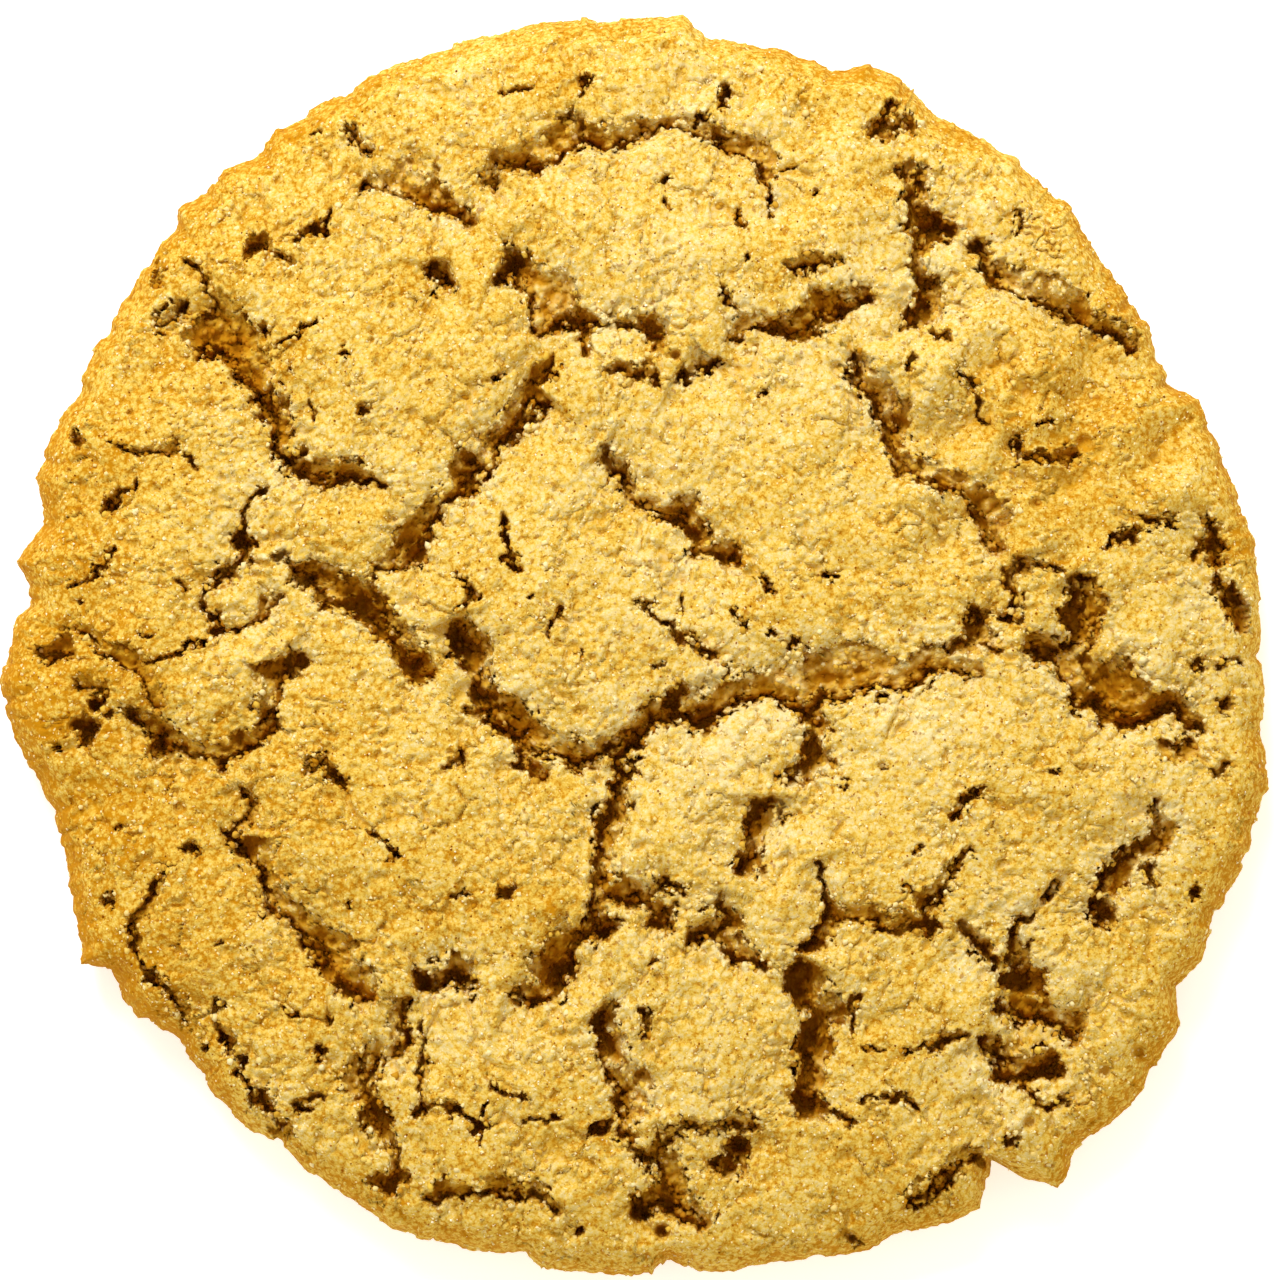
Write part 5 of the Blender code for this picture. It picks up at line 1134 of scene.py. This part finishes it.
# %% [markdown]
# ## Four quarters
#
# One mesh of 200,000 triangles would give cells of a third of a millimetre, too coarse for torn edges. So
# the grid is cut into four quarters, each a closed solid: its part of the surface, two plain walls where it
# meets its neighbours, and its part of the underside. The quarters share the points of their seams, and the
# seam edges are marked sharp, so the walls don't shade the top and no line shows.

# %% Mesh helpers
def mesh_piece(name, points, faces, attributes=None):
    """A new object at the origin from points in millimetres and faces, with numbers kept on its points."""
    mesh = bpy.data.meshes.new(name)
    mesh.from_pydata((points * MM).tolist(), [], faces)
    for label, values in (attributes or {}).items():
        layer = mesh.attributes.new(label, "FLOAT", "POINT")
        layer.data.foreach_set("value", np.ascontiguousarray(values, dtype=np.float32))
    mesh.shade_smooth()
    mesh.update()
    piece = bpy.data.objects.new(name, mesh)
    bpy.context.scene.collection.objects.link(piece)
    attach(piece, "root")
    return piece


def triangles_of(piece):
    """Triangles of a mesh: each face has two fewer than its corners."""
    return sum(len(polygon.vertices) - 2 for polygon in piece.data.polygons)


def grid_quads(rows, columns):
    """Faces of a grid of points numbered row by row."""
    numbers = np.arange(rows * columns).reshape(rows, columns)
    quads = np.stack((numbers[:-1, :-1], numbers[1:, :-1], numbers[1:, 1:], numbers[:-1, 1:]), axis=-1)
    return quads.reshape(-1, 4)


# %% Colour numbers on the points
BROWNED_PATCHES = (
    (-38.0, 4.0, 13.0, 0.4), (-32.0, -20.0, 15.0, 0.5), (-14.0, -14.0, 10.0, 0.2), (30.0, 12.0, 9.0, 0.35),
    (-18.0, 22.0, 12.0, 0.25), (41.0, 0.0, 7.0, -0.2), (28.0, 32.0, 9.0, -0.4), (4.0, -34.0, 12.0, 0.2),
)
BROWNED_RIM, PAINTED_CREASE_SHADE, PALE_EDGE = 0.3, 1.6, (0.35, 1.0)
WIDE_MOTTLE, FINE_MOTTLE = (11.0, 0.4), (2.2, 0.28)
ALL_SIDE_FROM, SHALLOW_SIDE = 0.3, 0.7
side_amount = ease(side_flat / ALL_SIDE_FROM)
crumb_depth = depth * (1.0 - SHALLOW_SIDE * side_amount)
browning_and_crease_shade = rough(places, WIDE_MOTTLE[0], LUMP_SEED + 60, 2) * WIDE_MOTTLE[1]
browning_and_crease_shade += rough(places, FINE_MOTTLE[0], LUMP_SEED + 70, 2) * FINE_MOTTLE[1]
for patch_x, patch_y, radius, amount in BROWNED_PATCHES:
    browning_and_crease_shade += amount * np.exp(-((flat_x - patch_x) ** 2 + (flat_y - patch_y) ** 2) / radius ** 2)
# Low skin relief, in the creases, raises this number and crests lower it: painted crease shade, not browning.
browning_and_crease_shade += BROWNED_RIM * reach ** RIM_FADE_POWER - PAINTED_CREASE_SHADE * skin_relief
browning_and_crease_shade -= PALE_EDGE[0] * np.exp(-from_edge / PALE_EDGE[1])
print("browning from", round(float(browning_and_crease_shade.min()), 2), "to", round(float(browning_and_crease_shade.max()), 2))

# %% Quarters of the cookie
QUARTERS = {
    "cookie_south_west": (0, 0), "cookie_south_east": (1, 0),
    "cookie_north_west": (0, 1), "cookie_north_east": (1, 1),
}
all_numbers = np.arange(grid_points ** 2).reshape(grid_points, grid_points)


def quarter_of_cookie(name, east, north):
    """One closed quarter: its block of the grid, two walls down to straight floor lines, and the underside.

    Seen from the outer corner of the block, the seam runs in along one inner edge to the middle and out along
    the other. Its outermost points already lie on the floor. Each other point gets a partner on the straight
    line from there to the middle, and a wall face joins each two neighbours to their partners.
    """
    half = grid_cells // 2
    block = all_numbers[east * half:east * half + half + 1, north * half:north * half + half + 1].ravel()
    points = places[block]
    here = np.arange((half + 1) ** 2).reshape(half + 1, half + 1)[::-1 if east else 1, ::-1 if north else 1]
    seam = np.concatenate((here[half], here[half - 1::-1, half]))
    rim_line = np.concatenate((here[half::-1, 0], here[0, 1:]))
    on_floor = int(np.argmax(points[seam, 2] > 0.0))
    raised = seam[on_floor:-on_floor]
    foot_share = np.abs(np.linspace(-1.0, 1.0, len(seam)))[on_floor:-on_floor] / (1.0 - (on_floor - 1) / half)
    first_half = (np.arange(len(raised)) <= len(raised) // 2)[:, None]
    feet = np.where(first_half, points[seam[on_floor - 1]], points[seam[-on_floor]])
    partners = feet * foot_share[:, None]
    floor_line = np.concatenate((seam[:on_floor], len(points) + np.arange(len(raised)), seam[-on_floor:]))
    span = slice(on_floor - 1, len(seam) - on_floor + 1)
    upper, lower = seam[span], floor_line[span]
    walls = np.stack((upper[1:], upper[:-1], lower[:-1], lower[1:]), axis=-1).tolist()
    walls[0], walls[-1] = walls[0][:2] + walls[0][3:], walls[-1][:3]
    new_faces = walls + [rim_line.tolist() + floor_line[-2:0:-1].tolist()]
    if east != north:
        new_faces = [face[::-1] for face in new_faces]
    spread = np.concatenate((block, block[raised]))
    values = {"depth": crumb_depth[spread], "browning_and_crease_shade": browning_and_crease_shade[spread], "side": side_amount[spread]}
    faces = grid_quads(half + 1, half + 1).tolist() + new_faces
    piece = mesh_piece(name, np.concatenate((points, partners)), faces, values)
    on_seam = np.zeros(len(spread), dtype=bool)
    on_seam[seam] = True
    ends = np.empty(2 * len(piece.data.edges), dtype=np.int32)
    piece.data.edges.foreach_get("vertices", ends)
    sharp = piece.data.attributes.new("sharp_edge", "BOOLEAN", "EDGE")
    sharp.data.foreach_set("value", on_seam[ends.reshape(-1, 2)].all(axis=1))
    return piece


def print_soundness(piece):
    """Prints the triangles, the edges that aren't shared by two matching faces, and the volume of a piece."""
    check = bmesh.new()
    check.from_mesh(piece.data)
    bad = sum(not edge.is_manifold or not edge.is_contiguous for edge in check.edges)
    volume = check.calc_volume(signed=True) * 1e6
    check.free()
    print(piece.name, "triangles:", triangles_of(piece), "bad edges:", bad, "volume, cm3:", round(volume, 1))


body = [quarter_of_cookie(name, east, north) for name, (east, north) in QUARTERS.items()]
for piece in body:
    print_soundness(piece)

# %% [markdown]
# ## Crust and crumb colours
#
# The skin is pale tan where sugar dried on it and golden where it browned, mottled down to a sixth of a
# millimetre. Painted shade lies over that: the skin's creases, the low spots of its fine bump and the seams
# between the bump's cells are painted more golden and amber, and fine brown threads and dots are painted
# shade of hairline splits and pits in the crust. Crumb inside the cracks is a more saturated orange gold,
# and is painted darker with depth, as painted shade, because the light doesn't reach it. The side is an
# even golden brown. So the colour is mixed from a few noises and from the numbers that the relief left on
# the points. A fine bump gives the grain that is smaller than the mesh.

# %% Node helpers
def add_node(material, kind, **settings):
    """Adds a shader node with its settings, and returns it."""
    node = material.node_tree.nodes.new(kind)
    for setting, value in settings.items():
        if hasattr(node, setting):
            setattr(node, setting, value)
        else:
            node.inputs[setting.replace("_", " ").title()].default_value = value
    return node


def join(material, output, target):
    """Links an output socket to an input socket."""
    material.node_tree.links.new(output, target)


def noise_of(material, size_mm, detail=2.0, roughness=0.5, seed=0.0):
    """A noise texture in object space, whose lumps are about size_mm across, as an output socket."""
    where = add_node(material, "ShaderNodeTexCoord")
    shifted = add_node(material, "ShaderNodeMapping")
    shifted.inputs["Location"].default_value = (seed, seed * 0.37, seed * 0.71)
    texture = add_node(material, "ShaderNodeTexNoise")
    texture.inputs["Scale"].default_value = 1.0 / (size_mm * MM)
    texture.inputs["Detail"].default_value = detail
    texture.inputs["Roughness"].default_value = roughness
    join(material, where.outputs["Object"], shifted.inputs["Vector"])
    join(material, shifted.outputs["Vector"], texture.inputs["Vector"])
    return texture.outputs["Fac"]


def cells_of(material, size_mm, wander_mm):
    """Distance to the nearest cell centre in cell sizes, at places pushed about, as an output socket."""
    where = add_node(material, "ShaderNodeTexCoord")
    push = add_node(material, "ShaderNodeTexNoise")
    push.inputs["Scale"].default_value = 0.7 / (size_mm * MM)
    moved = add_node(material, "ShaderNodeVectorMath", operation="MULTIPLY_ADD")
    moved.inputs[1].default_value = (wander_mm * MM,) * 3
    texture = add_node(material, "ShaderNodeTexVoronoi")
    texture.inputs["Scale"].default_value = 1.0 / (size_mm * MM)
    join(material, where.outputs["Object"], push.inputs["Vector"])
    join(material, push.outputs["Color"], moved.inputs[0])
    join(material, where.outputs["Object"], moved.inputs[2])
    join(material, moved.outputs["Vector"], texture.inputs["Vector"])
    return texture.outputs["Distance"]


def point_value(material, label):
    """The number that the mesh carries under a label, as an output socket."""
    return add_node(material, "ShaderNodeAttribute", attribute_name=label).outputs["Fac"]


def remap(material, value, low, high, to_low=0.0, to_high=1.0):
    """A straight ramp held at its ends: low becomes to_low, and high becomes to_high."""
    ramp = add_node(material, "ShaderNodeMapRange", clamp=True)
    join(material, value, ramp.inputs["Value"])
    for socket, amount in zip(("From Min", "From Max", "To Min", "To Max"), (low, high, to_low, to_high)):
        ramp.inputs[socket].default_value = amount
    return ramp.outputs["Result"]


def combine(material, operation, first, second):
    """A sum, product or other simple mathematics of two sockets or numbers."""
    maths = add_node(material, "ShaderNodeMath", operation=operation)
    for socket, value in zip(maths.inputs, (first, second)):
        if isinstance(value, (int, float)):
            socket.default_value = value
        else:
            join(material, value, socket)
    return maths.outputs["Value"]


def blend_colours(material, share, first, second):
    """A mix of two colours or colour sockets by a share from 0 to 1."""
    mix = add_node(material, "ShaderNodeMix", data_type="RGBA")
    join(material, share, mix.inputs["Factor"])
    for socket, colour in zip((mix.inputs[6], mix.inputs[7]), (first, second)):
        if isinstance(colour, tuple):
            socket.default_value = (*colour, 1.0)
        else:
            join(material, colour, socket)
    return mix.outputs[2]


# %% Baked crust
PALE_SKIN, GOLDEN_SKIN, AMBER_SKIN = (0.81, 0.685, 0.36), (0.745, 0.50, 0.075), (0.52, 0.22, 0.003)
# The deepest crumb colour is painted shade for crumb deep in a crack, and the pit colour is painted shade of
# hairline splits and pits.
CRUMB_GOLD, CRUMB_IN_SHADE, PIT_SHADE = (0.66, 0.35, 0.014), (0.44, 0.17, 0.003), (0.34, 0.10, 0.001)


FINE_SIZE, CRUMB_SIZE, FINEST_SIZE, THREAD_SIZE, DOT_SIZE = 0.42, 0.42, 0.16, 0.9, 0.5
BROWNING_AND_SHADE_WEIGHT, SIDE_WEIGHT = 0.7, 0.3
GOLDEN_AT = -0.1
WALL_CRUMB, GAP_CRUMB = 0.7, 0.3
BUMP_STRENGTH, BUMP_HEIGHT, CRUMB_BUMP = 0.4, 0.2, 0.8


def skin_mottle(material, fine, crumbs):
    """From amber through golden to pale: three noises added up, less the browning and the side's share.

    The browning carries painted crease shade. The fine noise and the cells are also the height of the fine
    bump, so the bump's low spots and the seams between its cells are painted darker and more amber: painted
    shade.
    """
    finest = noise_of(material, FINEST_SIZE, 1.0, 0.5, seed=0.2)
    # Paler on the bump's high spots and cell middles, amber in its low spots and cell seams: painted shade.
    grain = combine(material, "ADD", remap(material, fine, 0.3, 0.6, -0.22, 0.22),
                    remap(material, crumbs, 0.3, 0.8, 0.24, -0.4))
    grain = combine(material, "ADD", grain, remap(material, finest, 0.3, 0.7, -0.26, 0.26))
    browned_and_shaded = combine(material, "MULTIPLY", point_value(material, "browning_and_crease_shade"), BROWNING_AND_SHADE_WEIGHT)
    on_side = combine(material, "MULTIPLY", point_value(material, "side"), SIDE_WEIGHT)
    return combine(material, "SUBTRACT", combine(material, "SUBTRACT", grain, browned_and_shaded), on_side)


def painted_split_shade(material, fine):
    """Share of painted shade for hairline splits and pits: fine threads where a noise crosses its middle, and
    dots where another is lowest.
    """
    level = noise_of(material, THREAD_SIZE, 2.0, 0.6, seed=0.4)
    threads = combine(material, "ABSOLUTE", combine(material, "SUBTRACT", level, 0.5), 0.0)
    threads = combine(material, "MULTIPLY", remap(material, threads, 0.008, 0.03, 1.0, 0.0),
                      remap(material, fine, 0.38, 0.46, 0.9, 0.0))
    dots = remap(material, noise_of(material, DOT_SIZE, 1.0, 0.5, seed=0.9), 0.29, 0.35, 0.6, 0.0)
    return combine(material, "MAXIMUM", threads, dots)


def baked_crust():
    """The cookie's skin, crumb and side in one material, told apart by the numbers on its points."""
    material = bpy.data.materials.new("baked_crust")
    material.use_nodes = True
    shader = material.node_tree.nodes["Principled BSDF"]
    fine = noise_of(material, FINE_SIZE, 4.0, 0.85)
    crumbs = cells_of(material, CRUMB_SIZE, 0.5)
    mottle = skin_mottle(material, fine, crumbs)
    skin = blend_colours(material, remap(material, mottle, -0.7, GOLDEN_AT), AMBER_SKIN, GOLDEN_SKIN)
    skin = blend_colours(material, remap(material, mottle, GOLDEN_AT, 0.75), skin, PALE_SKIN)
    # Dark brown threads and dots: painted shade of hairline splits and pits in the crust.
    skin = blend_colours(material, painted_split_shade(material, fine), skin, PIT_SHADE)
    depth_here = point_value(material, "depth")
    # Deeper crumb is painted darker, from gold to brown: painted shade where the light doesn't reach.
    crumb = blend_colours(material, remap(material, depth_here, 1.0, 2.6), CRUMB_GOLD, CRUMB_IN_SHADE)
    in_wall = remap(material, depth_here, 0.2, 0.9, 0.0, WALL_CRUMB)
    in_gap = remap(material, depth_here, 1.0, 2.0, 0.0, GAP_CRUMB)
    colour = blend_colours(material, combine(material, "ADD", in_wall, in_gap), skin, crumb)
    join(material, colour, shader.inputs["Base Color"])
    shader.inputs["Roughness"].default_value = 0.85
    shader.inputs["Specular IOR Level"].default_value = 0.05
    bump = add_node(material, "ShaderNodeBump")
    bump.inputs["Strength"].default_value = BUMP_STRENGTH
    bump.inputs["Distance"].default_value = BUMP_HEIGHT * MM
    crumb_height = combine(material, "MULTIPLY", crumbs, CRUMB_BUMP)
    join(material, combine(material, "SUBTRACT", fine, crumb_height), bump.inputs["Height"])
    join(material, bump.outputs["Normal"], shader.inputs["Normal"])
    return material


crust = baked_crust()
for piece in body:
    piece.data.materials.append(crust)
print("material:", crust.name, "with", len(crust.node_tree.nodes), "nodes")

# %% [markdown]
# ## Loose and half-sunk grains
#
# A baked crust isn't smooth between its lumps: it is made of grains a tenth to half a millimetre across,
# each sunk halfway into its neighbours. They are too many and too small for the surface grid, so they are
# added as joined meshes, one for each kind: nodules and pale and golden grains on the plates, beads along
# the torn edges, nuggets of crumb in the cracks, sugar crystals that glint, and brown specks. A large grain
# is a solid with twenty faces and a small one has eight. Its corners are pushed in and out, and it is
# turned at random and set a little way into the surface.

# %% Grain shape
def twenty_sided():
    """Corners and faces of a regular solid with twenty triangles, from the golden ratio."""
    golden = (1.0 + 5.0 ** 0.5) / 2.0
    corners = [(sign * 1.0, other * golden, 0.0) for sign in (-1, 1) for other in (-1, 1)]
    corners = np.array(corners + [(0.0, a, b) for a, b, _ in corners] + [(b, 0.0, a) for a, b, _ in corners])
    corners /= np.linalg.norm(corners[0])
    edge = min(np.linalg.norm(corners[0] - corners[other]) for other in range(1, 12)) * 1.01
    faces = []
    for first in range(12):
        for second in range(first + 1, 12):
            for third in range(second + 1, 12):
                trio = corners[[first, second, third]]
                sides = [np.linalg.norm(trio[0] - trio[1]), np.linalg.norm(trio[1] - trio[2]),
                         np.linalg.norm(trio[2] - trio[0])]
                if max(sides) < edge:
                    outward = np.dot(np.cross(trio[1] - trio[0], trio[2] - trio[0]), trio.mean(axis=0)) > 0.0
                    faces.append((first, second, third) if outward else (first, third, second))
    return corners, np.array(faces)


def eight_sided():
    """Corners and faces of a regular solid with eight triangles."""
    corners = np.array(((1, 0, 0), (-1, 0, 0), (0, 1, 0), (0, -1, 0), (0, 0, 1), (0, 0, -1)), dtype=float)
    faces = np.array(((0, 2, 4), (2, 1, 4), (1, 3, 4), (3, 0, 4), (2, 0, 5), (1, 2, 5), (3, 1, 5), (0, 3, 5)))
    return corners, faces


print("grain solid:", len(twenty_sided()[0]), "corners,", len(twenty_sided()[1]), "faces")

# %% Places for grains
cell_corners = grid_quads(grid_points, grid_points)
cell_points = places[cell_corners]
cell_cross = np.cross(cell_points[:, 2] - cell_points[:, 0], cell_points[:, 3] - cell_points[:, 1])
cell_area = np.linalg.norm(cell_cross, axis=1) / 2.0
cell_normal = cell_cross / np.maximum(2.0 * cell_area, 1e-9)[:, None]
cell_depth = crumb_depth[cell_corners].mean(axis=1)
cell_side = side_share.ravel()[cell_corners].mean(axis=1)
cell_browning_and_shade = browning_and_crease_shade[cell_corners].mean(axis=1)
cell_torn = np.ptp(depth[cell_corners], axis=1)
faces_up = bool(cell_normal[len(cell_normal) // 2, 2] > 0)
print("surface, cm2:", round(float(cell_area.sum()) / 100.0, 1), "faces up:", faces_up)


TONE_BROWNING_AND_SHADE = 0.5


def scatter(name, solid, count, radius_range, density, sunk, roughness, seed, rounded=False):
    """One joined mesh of many grains, set on cells drawn at random with a chance of area times density.

    A grain lies at a random share of the way across its cell, blended between the four corners, and is lifted
    along the cell's normal by its radius times a share, below 0 where it is sunk. The turn is four normal
    numbers scaled to length 1, a quaternion, written out as a matrix.
    """
    random = np.random.default_rng(seed)
    corners, faces = solid
    chance = cell_area * density
    cells = random.choice(len(cell_area), size=count, p=chance / chance.sum())
    blend = random.random((count, 2))
    share = np.stack(((1 - blend[:, 0]) * (1 - blend[:, 1]), blend[:, 0] * (1 - blend[:, 1]),
                      blend[:, 0] * blend[:, 1], (1 - blend[:, 0]) * blend[:, 1]), axis=1)
    normal = cell_normal[cells]
    radius = random.uniform(*radius_range, count)
    raised = (radius * random.uniform(*sunk, count))[:, None]
    middle = np.einsum("nk,nkx->nx", share, cell_points[cells]) + normal * raised
    turn = random.normal(size=(count, 4))
    turn /= np.linalg.norm(turn, axis=1)[:, None]
    w, x, y, z = turn.T
    spin = np.stack((1 - 2 * (y * y + z * z), 2 * (x * y - z * w), 2 * (x * z + y * w),
                     2 * (x * y + z * w), 1 - 2 * (x * x + z * z), 2 * (y * z - x * w),
                     2 * (x * z - y * w), 2 * (y * z + x * w), 1 - 2 * (x * x + y * y)), axis=1)
    shape = corners[None] * random.uniform(*roughness, (count, len(corners), 1))
    shape = np.einsum("nij,nkj->nki", spin.reshape(-1, 3, 3), shape) * radius[:, None, None]
    points = (middle[:, None] + shape).reshape(-1, 3)
    points[:, 2] = np.maximum(points[:, 2], 0.0)
    all_faces = (faces[None] + (np.arange(count) * len(corners))[:, None, None]).reshape(-1, 3)
    # The tone also carries the cell's browning number, with its painted crease shade.
    tone = np.repeat(random.random(count) + TONE_BROWNING_AND_SHADE * cell_browning_and_shade[cells], len(corners))
    deep = np.repeat(cell_depth[cells], len(corners))
    piece = mesh_piece(name, points, all_faces.tolist(), {"tone": tone, "depth": deep})
    if not rounded:
        piece.data.shade_flat()
    print(name, "grains:", count, "triangles:", len(all_faces))
    return piece


def grain_material(name, light, dark, deep, roughness, specular):
    """A plain colour for grains, mixed by each grain's tone, which carries some painted crease shade, and
    painted darker down in a crack as painted shade.
    """
    material = bpy.data.materials.new(name)
    material.use_nodes = True
    shader = material.node_tree.nodes["Principled BSDF"]
    colour = blend_colours(material, remap(material, point_value(material, "tone"), 0.1, 1.0), light, dark)
    colour = blend_colours(material, remap(material, point_value(material, "depth"), 0.4, 2.4), colour, deep)
    join(material, colour, shader.inputs["Base Color"])
    shader.inputs["Roughness"].default_value = roughness
    shader.inputs["Specular IOR Level"].default_value = specular
    return material


# %% Set the grains
on_plate = (cell_depth < 0.35) * (cell_side < 0.12)
torn_edge = (cell_torn > 0.15) * (cell_depth < 1.6) * (cell_side < 0.1)
in_cracks = (cell_depth > 0.4) * (cell_side < 0.1)
crust_place = on_plate + 0.35 * (cell_side > 0.0) * (cell_side < 0.6)
LUMP, CHIP = twenty_sided(), eight_sided()
# Each kind's third colour is painted shade for its grains down in a crack.
kinds = (
    (scatter("crust_nodules", LUMP, 4500, (0.12, 0.30), crust_place, (-0.85, -0.55), (0.55, 1.3), 100, True),
     grain_material("crust_nodule", (0.86, 0.72, 0.37), (0.78, 0.55, 0.12), CRUMB_IN_SHADE, 0.75, 0.08)),
    (scatter("pale_grains", CHIP, 11000, (0.07, 0.16), crust_place, (-0.8, -0.2), (0.5, 1.4), 101),
     grain_material("pale_grain", (0.89, 0.78, 0.47), (0.85, 0.69, 0.31), CRUMB_IN_SHADE, 0.7, 0.1)),
    (scatter("golden_grains", CHIP, 9000, (0.07, 0.15), crust_place, (-0.8, -0.2), (0.5, 1.4), 102),
     grain_material("golden_grain", (0.88, 0.66, 0.18), (0.74, 0.44, 0.03), CRUMB_IN_SHADE, 0.7, 0.08)),
    (scatter("edge_beads", LUMP, 9500, (0.08, 0.2), torn_edge, (-0.7, 0.0), (0.5, 1.4), 103, True),
     grain_material("edge_bead", (0.88, 0.74, 0.37), (0.74, 0.47, 0.06), CRUMB_IN_SHADE, 0.75, 0.08)),
    (scatter("crumb_nuggets", LUMP, 9500, (0.1, 0.28), in_cracks, (-0.6, 0.1), (0.5, 1.4), 104, True),
     grain_material("crumb", (0.80, 0.54, 0.07), (0.50, 0.22, 0.004), CRUMB_IN_SHADE, 0.8, 0.08)),
    (scatter("sugar_crystals", CHIP, 900, (0.06, 0.12), on_plate + 0.15 * in_cracks, (-0.2, 0.4), (0.7, 1.2),
             105),
     grain_material("sugar", (0.96, 0.90, 0.70), (0.92, 0.82, 0.5), (0.5, 0.35, 0.15), 0.3, 0.6)),
    (scatter("brown_specks", CHIP, 1200, (0.06, 0.11), on_plate, (0.0, 0.3), (0.7, 1.2), 106),
     grain_material("speck", (0.36, 0.10, 0.002), (0.2, 0.05, 0.001), (0.1, 0.03, 0.001), 0.8, 0.0)),
)
for grain_piece, grain_look in kinds:
    grain_piece.data.materials.append(grain_look)

# %% [markdown]
# ## Floor, light and camera
#
# The cookie lies on a plain pale surface. One large soft light stands beyond the top of the picture, a
# little to the left, so walls that face the bottom are in shade and those that face the top are lit. A
# white sky fills the rest. The camera looks straight down from far away, so that the plates show no
# perspective.

# %% Floor
FLOOR_WIDTH, FLOOR_DROP, FLOOR_WHITE, FLOOR_GLOW = 3000.0, 0.02, 0.93, 0.5


def pale_floor():
    """A plain matte floor, far larger than the picture."""
    bpy.ops.mesh.primitive_plane_add(size=FLOOR_WIDTH * MM, location=(0.0, 0.0, -FLOOR_DROP * MM))
    floor = bpy.context.object
    floor.name = "pale_floor"
    material = bpy.data.materials.new("pale_floor")
    material.use_nodes = True
    shader = material.node_tree.nodes["Principled BSDF"]
    shader.inputs["Base Color"].default_value = (FLOOR_WHITE, FLOOR_WHITE, FLOOR_WHITE, 1.0)
    shader.inputs["Emission Color"].default_value = (1.0, 1.0, 1.0, 1.0)
    shader.inputs["Emission Strength"].default_value = FLOOR_GLOW
    shader.inputs["Roughness"].default_value = 0.9
    floor.data.materials.append(material)
    return floor


pale_floor()

# %% Light
WINDOW_PLACE, WINDOW_SIZE, WINDOW_POWER = (-0.14, 0.45, 0.47), 0.32, 3.9
WINDOW_COLOUR, SKY_COLOUR, SKY_STRENGTH = (0.98, 1.0, 1.08), (1.0, 0.94, 0.78), 0.75


def soft_light(name, place, size, power):
    """A square area light that looks at the origin."""
    light = bpy.data.lights.new(name, "AREA")
    light.size = size
    light.energy = power
    light.color = WINDOW_COLOUR
    lamp = bpy.data.objects.new(name, light)
    bpy.context.scene.collection.objects.link(lamp)
    lamp.location = place
    lamp.rotation_mode = "QUATERNION"
    lamp.rotation_quaternion = (-lamp.location).to_track_quat("-Z", "Y")
    return lamp


soft_light("window", WINDOW_PLACE, WINDOW_SIZE, WINDOW_POWER)
sky = bpy.data.worlds.new("white_sky")
sky.use_nodes = True
sky.node_tree.nodes["Background"].inputs["Color"].default_value = (*SKY_COLOUR, 1.0)
sky.node_tree.nodes["Background"].inputs["Strength"].default_value = SKY_STRENGTH
bpy.context.scene.world = sky
bpy.context.scene.view_settings.view_transform = "Standard"

# %% Camera
PICTURE_WIDTH = 89.6
PICTURE_MIDDLE = (0.35, 0.245)
FOCUS_HEIGHT = 6.0
CAMERA_DISTANCE = 900.0
camera_data = bpy.data.cameras.new("overhead_camera")
camera_data.sensor_width = 36.0
camera_data.lens = camera_data.sensor_width * CAMERA_DISTANCE / PICTURE_WIDTH
camera = bpy.data.objects.new("overhead_camera", camera_data)
camera.location = (PICTURE_MIDDLE[0] * MM, PICTURE_MIDDLE[1] * MM, (FOCUS_HEIGHT + CAMERA_DISTANCE) * MM)
bpy.context.scene.collection.objects.link(camera)
bpy.context.scene.camera = camera
print("camera lens, mm:", round(camera_data.lens, 1))

# %% Hide the frame's plain cookie
for piece in body:
    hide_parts(cookie_node)
